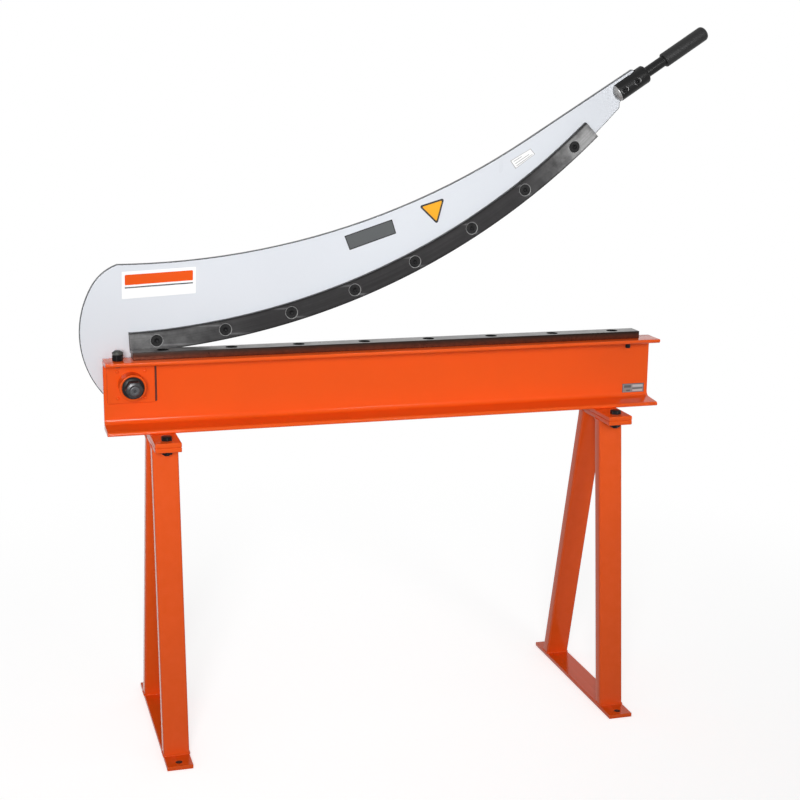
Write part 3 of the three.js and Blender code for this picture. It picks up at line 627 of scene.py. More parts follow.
def mottled(tree, value, colour, dark, light):
    """Colour times dark to colour times light, by a noise value."""
    return mix_colour(tree, spread(tree, value), shade(colour, dark), shade(colour, light))


def shade(colour, share):
    return tuple(channel * share for channel in colour)


def split(tree, vector):
    return add(tree, "ShaderNodeSeparateXYZ", {0: vector}).outputs


def facing_mask(tree, axis, least):
    """1 where the flat face looks along the axis or against it, else 0."""
    facing = add(tree, "ShaderNodeNewGeometry").outputs["True Normal"]
    return maths(tree, "GREATER_THAN", maths(tree, "ABSOLUTE", split(tree, facing)[axis]), least)


def new_group(name, inputs, outputs):
    """Node group with its input and output sockets; every group starts with a vector. Inputs are
    (name, type, default) and outputs are names of values."""
    group = bpy.data.node_groups.new(name, "ShaderNodeTree")
    group.interface.new_socket("Vector", in_out="INPUT", socket_type="NodeSocketVector")
    for title, kind, default in inputs:
        group.interface.new_socket(title, in_out="INPUT", socket_type=kind).default_value = default
    for title in outputs:
        group.interface.new_socket(title, in_out="OUTPUT", socket_type="NodeSocketFloat")
    return group, add(group, "NodeGroupInput").outputs, add(group, "NodeGroupOutput").inputs


def paint_skin(name):
    """Sprayed paint: a fine orange-peel height, a broad tone change, and small specks of dust."""
    sizes_of_noise = [("Peel Size", "NodeSocketFloat", 260.0), ("Tone Size", "NodeSocketFloat", 4.0)]
    group, start, end = new_group(name, sizes_of_noise, ["Height", "Tone", "Specks"])
    place = start["Vector"]
    speck = add(group, "ShaderNodeTexVoronoi", {"Vector": place, "Scale": 90.0, "Randomness": 1.0})
    group.links.new(noise(group, place, start["Peel Size"], 2.0), end["Height"])
    group.links.new(noise(group, place, start["Tone Size"], 4.0), end["Tone"])
    group.links.new(ramp(group, speck.outputs["Distance"], 0.035, 0.0), end["Specks"])
    return group


def grinding_grain(name):
    """Grinding marks: noise drawn out along one direction, as a tone and as a height, and a cloud."""
    stretch = [("Stretch", "NodeSocketVector", (6.0, 900.0, 900.0))]
    group, start, end = new_group(name, stretch, ["Tone", "Height", "Cloud"])
    drawn = vector_maths(group, "MULTIPLY", start["Vector"], start["Stretch"])[0]
    fine = noise(group, drawn, 1.0, 5.0, 0.65)
    streak = noise(group, drawn, 0.3, 3.0)
    group.links.new(maths(group, "MULTIPLY", maths(group, "ADD", fine, streak), 0.5), end["Tone"])
    group.links.new(fine, end["Height"])
    group.links.new(noise(group, start["Vector"], 30.0, 8.0, 0.62), end["Cloud"])
    return group


def edge_wear_and_sheen(name):
    """Mask that rises to 1 where the surface bends sharply outwards, broken up by noise: wear on steel and
    oxide, and on paint a painted edge highlight.
    """
    group, start, end = new_group(name, [("Reach", "NodeSocketFloat", 0.52)], ["Mask"])
    bend = add(group, "ShaderNodeNewGeometry").outputs["Pointiness"]
    sharp = maths(group, "MULTIPLY", maths(group, "SUBTRACT", bend, start["Reach"]), 14.0)
    broken = maths(group, "MULTIPLY", sharp, noise(group, start["Vector"], 60.0, 6.0))
    group.links.new(add(group, "ShaderNodeClamp", {"Value": broken}).outputs[0], end["Mask"])
    return group


def shared(tree, build, place):
    """Outputs of a shared group, which is built when a finish first asks for it."""
    group = bpy.data.node_groups.get(build.__name__) or build(build.__name__)
    return add(tree, "ShaderNodeGroup", {"Vector": place}, node_tree=group).outputs


# Finishes: heights of their bumps, shares of specks and of bare edges (on paint a painted edge
# highlight), the width of the painted shade along the upper blade's rims, and the places of its
# painted highlight at the ends as shares of its length

BLADE_GRAIN_HEIGHT = 0.03 * MM
OXIDE_GRAIN_HEIGHT = 0.03 * MM
TURNED_RING_HEIGHT = 0.04 * MM
PAINT_PEEL_HEIGHT = 0.04 * MM
PAINT_SPECKS = 0.35
PAINT_EDGE_SHEEN = 0.35
BLADE_WEAR = 0.2
OXIDE_WEAR = 0.25
EDGE_SHEEN_GAIN = 1.15
EDGE_SHEEN_LIFT = 0.03
RIM_SHADE_BAND = 3.4 * MM
HEEL_END = 0.26
TIP_START = 0.82
TIP_END = 1.03
FINISHES = {}


def finish_of(name):
    """Material by the name of its finish; all are made when the first is asked for."""
    if not FINISHES:
        make_finishes()
    return FINISHES[name]


def start_finish(name):
    """New material with its node tree, its shader and the object coordinates."""
    material = bpy.data.materials.new(name)
    material.use_nodes = True
    FINISHES[name] = material
    tree = material.node_tree
    return tree, tree.nodes["Principled BSDF"], add(tree, "ShaderNodeTexCoord").outputs["Object"]


def surface(tree, shader, colour, roughness, height, distance, **levels):
    """Feeds the shader with colour, roughness and a bump of the height, and sets its other levels."""
    bump = add(tree, "ShaderNodeBump", {"Height": height, "Strength": 1.0, "Distance": distance})
    tree.links.new(colour, shader.inputs["Base Color"])
    tree.links.new(roughness, shader.inputs["Roughness"])
    tree.links.new(bump.outputs["Normal"], shader.inputs["Normal"])
    for key, value in levels.items():
        shader.inputs[key.replace("_", " ")].default_value = value


def painted(name, colour, roughness, coat=0.0, specular=0.3, peel_height=PAINT_PEEL_HEIGHT, tone_share=0.93,
            speck_share=0.54, edge_shade_colour=None):
    """Gloss paint: orange peel in the bump, a slow tone change and specks. Sharp edges are a shade
    lighter as a painted highlight, or else an edge colour goes as painted shade on every face that
    doesn't look along Y, such as a cut edge."""
    tree, shader, place = start_finish(name)
    skin = shared(tree, paint_skin, place)
    toned = mottled(tree, skin["Tone"], colour, tone_share, 1.0)
    specks = maths(tree, "MULTIPLY", skin["Specks"], PAINT_SPECKS)
    specked = mix_colour(tree, specks, toned, shade(colour, speck_share))
    if edge_shade_colour is None:
        # Lighter copy of the paint on sharp edges: painted highlight
        lighter = tuple(min(1.0, channel * EDGE_SHEEN_GAIN + EDGE_SHEEN_LIFT) for channel in colour)
        wear = maths(tree, "MULTIPLY", shared(tree, edge_wear_and_sheen, place)["Mask"], PAINT_EDGE_SHEEN)
        edged = mix_colour(tree, wear, specked, lighter)
    else:
        # Painted shade on the faces that don't look along Y
        edged = mix_colour(tree, facing_mask(tree, "Y", least=0.97), edge_shade_colour, specked)
    uneven = spread(tree, skin["Tone"], roughness * 0.85, roughness * 1.15)
    surface(tree, shader, edged, uneven, skin["Height"], peel_height,
            Coat_Weight=coat, Coat_Roughness=0.08, Specular_IOR_Level=specular)


def ground_steel(name, colour, side_colour, axis, roughness, run=None, end_sheen=None, rim=None, foot=None):
    """Ground dark steel: grinding marks along the blade in tone, roughness and bump. Faces that don't
    look along the axis, edges included, have the colour of the sides: painted shade on the upper blade,
    painted reflection on the lower. Each of the last four is a function of tree and place: the way of
    the marks, and the shares of a painted highlight at the ends, of painted shade along the rim and of
    a painted reflection of the flange on the foot."""
    tree, shader, place = start_finish(name)
    grain = shared(tree, grinding_grain, place if run is None else run(tree, place))
    drawn = mottled(tree, grain["Tone"], colour, 0.6, 1.5)
    steel = mix_colour(tree, spread(tree, grain["Cloud"], 0.0, 0.6), drawn, shade(colour, 0.65))
    # Painted highlight towards the heel and the tip
    if end_sheen is not None:
        patchy = maths(tree, "MULTIPLY", end_sheen(tree, place), spread(tree, grain["Cloud"], 0.25, 1.6))
        share = add(tree, "ShaderNodeClamp", {"Value": patchy}).outputs[0]
        steel = mix_colour(tree, share, steel, mottled(tree, grain["Tone"], colours().blade_end, 0.75, 1.25))
    wear = maths(tree, "MULTIPLY", shared(tree, edge_wear_and_sheen, place)["Mask"], BLADE_WEAR)
    face = mix_colour(tree, wear, steel, colours().blade_worn)
    # Painted shade along the upper blade's rims
    if rim is not None:
        face = mix_colour(tree, rim(tree, place), face, side_colour)
    side = side_colour
    # Painted reflection of the flange towards the foot
    if foot is not None:
        side = mix_colour(tree, foot(tree, place), side_colour, colours().blade_foot_flange_reflection)
    uneven = spread(tree, grain["Cloud"], roughness * 0.85, roughness * 1.2)
    # Side colour: painted shade on the upper blade, painted reflection on the lower
    sided = mix_colour(tree, facing_mask(tree, axis, least=0.9), side, face)
    surface(tree, shader, sided, uneven, grain["Height"], BLADE_GRAIN_HEIGHT,
            Metallic=0.55, Specular_IOR_Level=0.2)


def turned_steel(name, colour, centre, axis, roughness=0.3):
    """Turned metal: rings round the axis in tone, roughness and bump, from the distance to the axis,
    which is the length of the cross product with the axis."""
    tree, shader, place = start_finish(name)
    shift = vector_maths(tree, "SUBTRACT", place, tuple(centre))[0]
    across = vector_maths(tree, "CROSS_PRODUCT", shift, tuple(axis))[0]
    radius = vector_maths(tree, "LENGTH", across)["Value"]
    values = {"W": radius, "Scale": 2400.0, "Detail": 3.0}
    rings = add(tree, "ShaderNodeTexNoise", values, noise_dimensions="1D").outputs["Fac"]
    tone = mottled(tree, rings, colour, 0.75, 1.15)
    uneven = spread(tree, rings, roughness * 0.8, roughness * 1.25)
    surface(tree, shader, tone, uneven, rings, TURNED_RING_HEIGHT, Metallic=1.0)


def oxide_steel(name, colour, specular, metallic):
    """Black oxide: nearly black, with a cloudy sheen and bare steel on the sharpest edges."""
    tree, shader, place = start_finish(name)
    cloud = noise(tree, place, 180.0, 5.0)
    wear = maths(tree, "MULTIPLY", shared(tree, edge_wear_and_sheen, place)["Mask"], OXIDE_WEAR)
    worn = mix_colour(tree, wear, mottled(tree, cloud, colour, 0.7, 1.4), colours().oxide_worn)
    surface(tree, shader, worn, spread(tree, cloud, 0.26, 0.42), cloud, OXIDE_GRAIN_HEIGHT,
            Metallic=metallic, Specular_IOR_Level=specular)


def curved_run(tree, place):
    """Object coordinates bent round the upper blade's centre: run along the arc, depth, radius."""
    x, depth, z = split(tree, vector_maths(tree, "SUBTRACT", place, tuple(blade_centre()))[0])
    angle = maths(tree, "ARCTAN2", x, maths(tree, "MULTIPLY", z, -1.0))
    flat = add(tree, "ShaderNodeCombineXYZ", {"X": x, "Z": z}).outputs[0]
    radius = vector_maths(tree, "LENGTH", flat)["Value"]
    run = maths(tree, "MULTIPLY", angle, BLADE_RADIUS)
    return add(tree, "ShaderNodeCombineXYZ", {"X": run, "Y": depth, "Z": radius}).outputs[0]


def end_sheen_share(tree, place):
    """Share of the painted highlight by which the upper blade's steel gets lighter towards its heel and
    its free end.
    """
    low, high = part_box("upper_blade")
    length = high.x - low.x
    x = split(tree, place)["X"]
    heel = ramp(tree, x, low.x, low.x + HEEL_END * length, 0.4, 0.0)
    tip = ramp(tree, x, low.x + TIP_START * length, low.x + TIP_END * length, kind="SMOOTHSTEP")
    return maths(tree, "ADD", heel, tip)


def rim_painted_shade(tree, place):
    """Share of the painted shade along the upper blade's long edges, from the distance to its middle arc."""
    radius = split(tree, curved_run(tree, place))["Z"]
    off = maths(tree, "ABSOLUTE", maths(tree, "SUBTRACT", radius, BLADE_RADIUS))
    start = BLADE_WIDTH / 2 - RIM_SHADE_BAND
    line = ramp(tree, off, start, start + RIM_SHADE_BAND * 0.6, 0.0, 0.95)
    return maths(tree, "MULTIPLY", line, spread(tree, noise(tree, place, 320.0, 3.0), 0.6, 1.0))


def foot_flange_reflection(tree, place):
    """Share of the painted reflection of the orange flange on the lower blade's sides, from none at the
    top to full at the foot.
    """
    low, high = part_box("lower_blade")
    fade = ramp(tree, split(tree, place)["Z"], low.z, high.z, 1.0, 0.0, "SMOOTHSTEP")
    return maths(tree, "MULTIPLY", fade, spread(tree, noise(tree, place, 140.0, 4.0), 0.6, 1.0))


def make_finishes():
    """Every finish of the shear."""
    c = colours()
    painted("orange_paint", c.orange, 0.16, specular=0.14, peel_height=0.02 * MM)
    # Painted shade inside the anchor holes
    painted("anchor_hole_painted_shade", c.hole, 0.5)
    # Painted shadow beside the pivot's plate
    painted("painted_shadow_strip", c.bead, 0.5)
    # Arm plate: its grey edges are painted shade
    painted("arm_paint", c.white, 0.32, coat=0.2, tone_share=0.97, speck_share=0.72,
            edge_shade_colour=c.arm_edge)
    # Upper blade: dark edge faces and rim band are painted shade, its lighter ends a painted highlight
    ground_steel("upper_steel", c.blade, shade(c.blade, 0.2), "Y", 0.36, run=curved_run, end_sheen=end_sheen_share,
                 rim=rim_painted_shade)
    # Lower blade: painted reflection in its light top and dark sides, and the flange's orange towards the foot
    ground_steel("lower_steel", c.blade_top_light_reflection, c.blade_side_dark_reflection, "Z", 0.3, foot=foot_flange_reflection)
    # Upper countersinks: bare steel lightened as a painted highlight
    ground_steel("countersink_steel_and_highlight", c.countersink_highlight, c.countersink_highlight, "Y", 0.35)
    oxide_steel("black_oxide", c.oxide, specular=0.1, metallic=0.25)
    # Darker copy of the black oxide: painted shade on the sunk lower screws and on their holes' walls
    oxide_steel("black_oxide_painted_shade", shade(c.oxide, 0.6), specular=0.03, metallic=0.0)
    oxide_steel("grey_oxide", c.grey_oxide, specular=0.3, metallic=0.5)
    oxide_steel("nut_steel", c.nut, specular=0.5, metallic=0.95)
    turned_steel("shaft_steel", c.shaft, PIVOT, BACK)
    turned_steel("bearing_bronze", c.bronze, PIVOT, BACK)
    turned_steel("socket_end_steel", c.dome, handle_origin(), HANDLE_AHEAD, 0.4)
    painted("gloss_black", c.black, 0.4, specular=0.24, peel_height=0.003 * MM, tone_share=0.7,
            speck_share=1.8)
    painted("grip_black", c.black, 0.5, specular=0.42, peel_height=0.004 * MM, tone_share=0.7,
            speck_share=1.8)
    # Screw bevels: bare steel with their glint painted in as even light grey
    painted("screw_bevel_steel_and_highlight", c.screw_bevel_highlight, 0.45)
    painted("white_sticker", c.sticker, 0.28, coat=0.1, peel_height=0.01 * MM, tone_share=0.98,
            speck_share=0.78)
    painted("sticker_line", c.sticker_line, 0.4)
    painted("sign_black", c.sign, 0.4, coat=0.1)
    painted("amber_sticker", c.amber, 0.3, coat=0.1, peel_height=0.01 * MM, tone_share=0.95,
            speck_share=0.6)
    painted("slate_plate", c.slate, 0.4, coat=0.1, peel_height=0.02 * MM, tone_share=0.85,
            speck_share=0.84)
    ground_steel("name_plate_steel", c.plate, c.plate, "Y", 0.3)
    painted("name_plate_field", c.plate_field, 0.4, specular=0.2)


# Bed and blades

def build_bed():
    """Rolled channel: its section, with fine corners, carried along the bed. A flange's thickness at
    y is that at its middle plus the taper times the way back from there."""
    low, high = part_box("bed_channel")
    middle = (low.y + high.y) / 2
    at_toe = FLANGE + FLANGE_TAPER * (low.y - middle)
    at_root = FLANGE + FLANGE_TAPER * (WEB_FRONT - middle)
    corners = [
        (high.y, low.z), (high.y, high.z), (low.y, high.z), (low.y, high.z - at_toe),
        (WEB_FRONT, high.z - at_root), (WEB_FRONT, low.z + at_root), (low.y, low.z + at_toe), (low.y, low.z)]
    edge = sizes().channel_edge
    section = rounded_loop(corners, [edge, edge, edge, TOE_ROUND, ROOT_ROUND, ROOT_ROUND, TOE_ROUND, edge], 6)
    rows = rounded_edge(high.x - low.x, sizes().plate_edge)
    piece = slab("bed_rolled_channel", "bed_channel", [(section, rows)], (low.x, 0, 0), ALONG_BED,
                 "orange_paint")
    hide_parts("bed_channel")


def flat_piece(name, node, finish, holes, corner=1.0 * MM, edge=None, hole_finish=None):
    """Level plate over a node's box, top face first. Holes are (centre, radius, rows)."""
    low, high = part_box(node)
    edge = sizes().plate_edge if edge is None else edge
    corner = max(corner, edge + FLAT_RING + 0.1 * MM)
    loops = [(box_loop(low, high, corner), rounded_edge(high.z - low.z, edge))]
    loops += [(circle(centre.x, centre.y, radius), rows) for centre, radius, rows in holes]
    piece = slab(name, node, loops, (0, 0, high.z), LYING_FLAT, finish, hole_finish)
    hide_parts(node)


def blade_screw_places(blade):
    return [centre_of(f"{blade}_screw_{i}") for i in BLADE_SCREWS]


def build_lower_blade():
    """Straight bar blade with its countersunk holes, whose rims are as deep as the screws are sunk."""
    low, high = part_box("lower_blade")
    rows = countersink(high.z - low.z, rim=LOWER_SCREW_SINK + 1.3 * MM, bevel=0.4 * MM)
    holes = [(centre, BLADE_SCREW_HEAD + GAP, rows) for centre in blade_screw_places("lower_blade")]
    # Holes' walls in the darker oxide: painted shade in the countersinks
    flat_piece("straight_lower_blade", "lower_blade", "lower_steel", holes, 0.8 * MM,
               hole_finish="black_oxide_painted_shade")


def build_arm():
    """Arm plate: the frame's outline with rounded edges and the holes for screws and shaft."""
    low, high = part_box("arm_plate")
    depth = high.y - low.y
    holes = [(centre, BLADE_SCREW_SHANK + GAP) for centre in blade_screw_places("upper_blade")]
    holes.append((PIVOT, SHAFT_BODY + GAP))
    holes += [(centre_of(f"handle_screw_{i}"), TONGUE_THREAD) for i in (1, 2)]
    loops = [(rim_of("arm_plate", 1, low.y), rounded_edge(depth, sizes().arm_edge))]
    loops += [(circle(centre.x, centre.z, radius), hole_rows(depth)) for centre, radius in holes]
    piece = slab("arm_blade_carrier", "arm_plate", loops, (0, low.y, 0), FACING_FRONT, "arm_paint")
    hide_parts("arm_plate")


def blade_centre():
    """Centre of the upper blade's arcs. The heel's upper corner lies at the left of the box, which
    gives x, and its lower corner at the bottom, which gives z."""
    low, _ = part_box("upper_blade")
    outer, inner = BLADE_RADIUS + BLADE_WIDTH / 2, BLADE_RADIUS - BLADE_WIDTH / 2
    return Vector((low.x - inner * math.sin(BLADE_HEEL), 0.0, low.z + outer * math.cos(BLADE_HEEL)))


def build_upper_blade():
    """Curved blade: two arcs about one centre, closed at heel and tip."""
    low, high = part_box("upper_blade")
    depth = high.y - low.y
    centre = blade_centre()
    start = BLADE_HEEL - QUARTER
    stop = start + BLADE_LENGTH / BLADE_RADIUS
    lower_edge = arc((centre.x, centre.z), BLADE_RADIUS + BLADE_WIDTH / 2, start, stop, 97)
    upper_edge = arc((centre.x, centre.z), BLADE_RADIUS - BLADE_WIDTH / 2, stop, start, 97)
    loops = [(np.concatenate([lower_edge, upper_edge]), rounded_edge(depth, sizes().plate_edge))]
    loops += [(circle(hole.x, hole.z, BLADE_SCREW_HEAD + GAP), countersink(depth))
              for hole in blade_screw_places("upper_blade")]
    piece = slab("curved_upper_blade", "upper_blade", loops, (0, low.y, 0), FACING_FRONT, "upper_steel",
                 "countersink_steel_and_highlight")
    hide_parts("upper_blade")


# Screws, bolts and nuts

def socket_screw(name, node, axis, head, shank, key, key_depth, under_head, finish="black_oxide", sink=0.0):
    """Socket screw standing along axis with its face outwards and sunk below the node's own face. The
    socket is a hexagon that ends in a drilled cone. Under head are the rings down to the shank."""
    low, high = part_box(node)
    axis = Vector(axis)
    length = abs((high - low).dot(axis)) - sink
    face = (low + high) / 2 + axis * (length - sink) / 2
    soft = SCREW_SOFT
    rings = [
        (0, -key_depth - key * DRILL_DEPTH_SHARE), (key * DRILL_SHARE, -key_depth, HEXAGON),
        (key, -key_depth + soft, HEXAGON), (key, -soft, HEXAGON), (key + soft, 0, WORN_HEXAGON),
        (head - soft, 0), (head, -soft), *under_head,
        (shank, -length + soft), (shank - soft, -length), (0, -length)]
    piece = ring_stack(name, node, rings, face, axis, RIGHT, finish)
    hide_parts(node)


def build_blade_screws():
    """Countersunk screws of both blades, with a straight rim above the cone."""
    rim = 1.0 * MM
    head, shank = BLADE_SCREW_HEAD, BLADE_SCREW_SHANK
    cone = [(head, -rim), (shank, -rim - (head - shank))]
    for i in BLADE_SCREWS:
        # Lower screws in the darker oxide: painted shade where they sit sunk
        socket_screw(f"lower_socket_screw_{i}", f"lower_blade_screw_{i}", UP, head, shank, BLADE_SCREW_KEY,
                     3 * MM, cone, "black_oxide_painted_shade", LOWER_SCREW_SINK)
        socket_screw(f"upper_socket_screw_{i}", f"upper_blade_screw_{i}", FRONT, head, shank, BLADE_SCREW_KEY,
                     4 * MM, cone)


def hexagon_rings(size, foot, top, cone_below, cone_above, steps=4, face_share=HEX_FACE_SHARE):
    """Rings of a hexagon prism between two heights whose corners are turned to a cone at the ends
    that are named, and have a small chamfer at the others. The cone starts on the end face at its
    share of the inner radius, and is a ring's radius where it is nearer the axis than the hexagon."""
    inner = size / 2
    face = inner * face_share
    reach = size / math.sqrt(3) - face
    cone = [(face + reach * k / steps, reach * math.tan(HEX_CONE) * k / steps) for k in range(steps + 1)]
    chamfer = [(inner - HEX_CHAMFER, 0), (inner, HEX_CHAMFER)]
    below = [(radius, foot + depth, CONE if cone_below else HEXAGON)
             for radius, depth in (cone if cone_below else chamfer)]
    above = [(radius, top - depth, CONE if cone_above else HEXAGON)
             for radius, depth in reversed(cone if cone_above else chamfer)]
    return [(0, foot), *below, *above, (0, top)]


def upright_stack(name, node, rings, side=RIGHT, finish="black_oxide", turns=72):
    """Ring stack on the foot of a node's box, which replaces the node."""
    centre = centre_of(node)
    foot = (centre.x, centre.y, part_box(node)[0].z)
    piece = ring_stack(name, node, rings, foot, UP, side, finish, turns)
    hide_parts(node)


def height_of(node):
    low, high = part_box(node)
    return high.z - low.z


def hexagon_bolt(name, node, side=RIGHT, finish="black_oxide", face_share=HEX_FACE_SHARE):
    """Bolt with its head up: a round shank with a chamfered end, and the head's rings without the
    point under it."""
    under_head = height_of(node) - HEX_HEAD
    shank = [(0, 0), (HEX_SHANK - ROD_CHAMFER, 0), (HEX_SHANK, ROD_CHAMFER), (HEX_SHANK, under_head)]
    head = hexagon_rings(HEX_FLATS, under_head, height_of(node), cone_below=False, cone_above=True,
                         face_share=face_share)
    upright_stack(name, node, shank + head[1:], side, finish)


def hexagon_nut(name, node, cone_above, side=RIGHT):
    """Nut over the node's height, turned to a cone below and, if so said, above."""
    rings = hexagon_rings(HEX_FLATS, 0, height_of(node), cone_below=True, cone_above=cone_above)
    upright_stack(name, node, rings, side)


def build_bolts():
    """Bolts and nuts of the stands and of the bed, and the round bolt under the lower blade."""
    for side in ("left", "right"):
        for end in ("front", "rear"):
            hexagon_bolt(f"foot_stack_bolt_{side}_{end}", f"stand_bolt_{side}_{end}")
            hexagon_nut(f"foot_stack_nut_{side}_{end}", f"stand_nut_{side}_{end}", cone_above=False)
    hexagon_bolt("bed_end_bolt", "bed_bolt", side=(1, 0.15, 0), finish="grey_oxide",
                 face_share=PEAKED_FACE_SHARE)
    hexagon_nut("bed_end_lock_nut", "bed_bolt_nut", cone_above=True, side=(1, -0.3, 0))
    low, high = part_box("blade_end_bolt")
    radius, height = (high.x - low.x) / 2, high.z - low.z
    rings = turned_profile([(0, 0), (radius, 0), (radius, height), (0, height)], ROD_CHAMFER)
    upright_stack("under_blade_bolt", "blade_end_bolt", rings, turns=48)


# Pivot

def turned_piece(name, node, corners, finish, edge):
    """Ring or disc about the pivot's axis; its corners are (radius, distance behind the node's
    front), from the front face round to the back, rounded by edge."""
    front = (PIVOT.x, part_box(node)[0].y, PIVOT.z)
    piece = ring_stack(name, node, turned_profile(corners, edge), front, BACK, RIGHT, finish, 96)
    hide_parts(node)


def build_boss():
    """Square plate and the boss on it, with a recess for the washers and a small fillet weld."""
    low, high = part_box("pivot_plate")
    outline = box_loop((low.x, low.z), (high.x, high.z), 1.5 * MM)
    rows = rounded_edge(high.y - low.y - GAP, sizes().plate_edge)
    piece = slab("pivot_reinforcing_plate", "pivot_plate", [(outline, rows)], (0, low.y, 0), FACING_FRONT,
                 "orange_paint")
    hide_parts("pivot_plate")
    low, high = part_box("pivot_boss")
    length = high.y - low.y
    recess_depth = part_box("pivot_washer")[1].y - low.y
    weld = arc((BOSS_RADIUS + BOSS_WELD, length), BOSS_WELD, -2 * QUARTER, -QUARTER, 6)
    corners = [(BOSS_BORE, recess_depth), (BOSS_RECESS, recess_depth), (BOSS_RECESS, 0), (BOSS_RADIUS, 0),
               *weld, (BOSS_BORE, length), (BOSS_BORE, recess_depth)]
    turned_piece("pivot_front_boss", "pivot_boss", corners, "orange_paint", 1.2 * MM)


def build_washers():
    """Flat washer, and the disc spring, whose sheet rises from its rim to its hole."""
    bore = SHAFT_BODY + GAP
    low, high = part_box("pivot_washer")
    thick = high.y - low.y
    corners = [(bore, 0), (WASHER_RADIUS, 0), (WASHER_RADIUS, thick), (bore, thick), (bore, 0)]
    turned_piece("pivot_flat_washer", "pivot_washer", corners, "black_oxide", 0.4 * MM)
    low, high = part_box("pivot_disc_spring")
    rise = high.y - low.y
    corners = [(bore, 0), (SPRING_RADIUS, SPRING_SHEET), (SPRING_RADIUS, rise), (bore, rise - SPRING_SHEET),
               (bore, 0)]
    turned_piece("pivot_spring_washer", "pivot_disc_spring", corners, "black_oxide", 0.3 * MM)


def build_nut_and_shaft():
    """Hexagon nut, and the shaft: a centre mark, a chamfer, thread crests outside the nut, the body
    and the flange behind the arm."""
    nut_low, nut_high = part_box("pivot_nut")
    rings = hexagon_rings(PIVOT_NUT_FLATS, 0, nut_high.y - nut_low.y, cone_below=False, cone_above=True,
                          steps=6)
    nut = ring_stack("pivot_hexagon_nut", "pivot_nut", rings, (PIVOT.x, nut_high.y, PIVOT.z), FRONT, UP,
                     "nut_steel", 96)
    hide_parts("pivot_nut")
    low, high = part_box("pivot_shaft")
    step = nut_high.y - low.y
    arm_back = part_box("arm_plate")[1].y - low.y + GAP
    end = high.y - low.y
    mark = [(0, 3.2 * MM), (1.0 * MM, 2.2 * MM), (2.8 * MM, 0)]
    crests = [(THREAD_RADIUS - THREAD_DEPTH * (k % 2), 3 * MM + k * THREAD_PITCH) for k in range(1, 6)]
    corners = [*mark, (THREAD_RADIUS - THREAD_CHAMFER, 0), (THREAD_RADIUS, THREAD_CHAMFER), *crests,
               (THREAD_RADIUS, step), (SHAFT_BODY, step), (SHAFT_BODY, arm_back), (SHAFT_FLANGE, arm_back),
               (SHAFT_FLANGE, end), (0, end)]
    turned_piece("pivot_through_shaft", "pivot_shaft", corners, "shaft_steel", 0.5 * MM)


def build_shadow_strip():
    """Dark strip along the plate's right edge, a painted shadow: a half ellipse carried up the edge."""
    low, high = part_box("pivot_plate")
    centre = (high.x + SHADOW_STRIP_WIDTH / 2, WEB_FRONT + 0.1 * MM)
    section = arc(centre, (SHADOW_STRIP_WIDTH / 2, SHADOW_STRIP_RISE), -2 * QUARTER, 0, 9)
    rows = [(0, 0), (0, high.z - low.z - 3 * MM)]
    slab("pivot_plate_shadow_strip", "bed_channel", [(section, rows)], (0, 0, low.z), STANDING_UP,
         "painted_shadow_strip")


def build_rivets():
    """Small round heads on the corners of the plate: a quarter ellipse turned round, and a shank."""
    for i in range(1, 5):
        node = f"pivot_plate_screw_{i}"
        low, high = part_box(node)
        centre = centre_of(node)
        radius, length = (high.x - low.x) / 2, high.y - low.y
        dome = arc((0, RIVET_DOME), (radius, RIVET_DOME), -QUARTER, 0, 7)
        rings = [*dome, (radius, RIVET_HEAD), (RIVET_SHANK, RIVET_HEAD), (RIVET_SHANK, length), (0, length)]
        piece = ring_stack(f"pivot_plate_rivet_{i}", node, rings, (centre.x, low.y, centre.z), BACK, RIGHT,
                           "orange_paint", 32)
        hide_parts(node)


def build_pivot():
    """Everything about the pivot that is seen."""
    build_boss()
    build_washers()
    build_nut_and_shaft()
    build_shadow_strip()
    build_rivets()


def dress_hidden():
    """Inner pieces keep the frame's own solids and get their finish, bronze or paint."""
    for node, finish in (("pivot_bush", "bearing_bronze"), ("pivot_spacer", "orange_paint")):
        slots = NODES[node].data.materials
        slots.clear()
        slots.append(finish_of(finish))


# Handle

def handle_origin():
    """Start of the socket's round length. The handle's axis passes through the first screw, which
    stands a known run from there, in the middle of the arm's thickness."""
    first = centre_of("handle_screw_1")
    return Vector((first.x, centre_of("arm_plate").y, first.z)) - HANDLE_AHEAD * SOCKET_TO_SCREW


def build_socket(start):
    """Slotted socket: a shallow dome, a round length with a rounded end, and the bar's seat. The
    dome is part of a ball of radius (r^2 + d^2) / 2d for the socket's radius r and the dome's rise d."""
    ball = (SOCKET_RADIUS ** 2 + SOCKET_DOME ** 2) / (2 * SOCKET_DOME)
    cap = arc((0, ball - SOCKET_DOME), ball, -QUARTER, math.asin(SOCKET_RADIUS / ball) - QUARTER, 13)
    end = arc((SOCKET_RADIUS - SOCKET_ROUND, SOCKET_LENGTH - SOCKET_ROUND), SOCKET_ROUND, 0, QUARTER, 8)
    bore, seat = BAR_RADIUS + GAP, SOCKET_LENGTH - BAR_SEAT
    rings = [*cap, *end, (bore, SOCKET_LENGTH), (bore, seat), (0, seat)]
    socket = ring_stack("handle_slotted_socket", "handle_socket", rings, start, HANDLE_AHEAD, HANDLE_ACROSS,
                        "gloss_black", 96)
    cut_socket(socket, start)
    bare_socket_end(socket, start)
    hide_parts("handle_socket")


def slot_cutter(start):
    """Box round the arm plate's tongue, from before the dome to the slot's end."""
    reach = SOCKET_RADIUS * 1.5
    spots = [start + HANDLE_AHEAD * ahead + HANDLE_ACROSS * across + Vector(BACK) * side
             for ahead in (-SOCKET_DOME - 5 * MM, SLOT_END)
             for across in (-reach, reach)
             for side in (-SLOT_HALF, SLOT_HALF)]
    faces = [(0, 1, 3, 2), (4, 6, 7, 5), (0, 4, 5, 1), (2, 3, 7, 6), (0, 2, 6, 4), (1, 5, 7, 3)]
    return plain_object("slot_cutter", spots, faces)


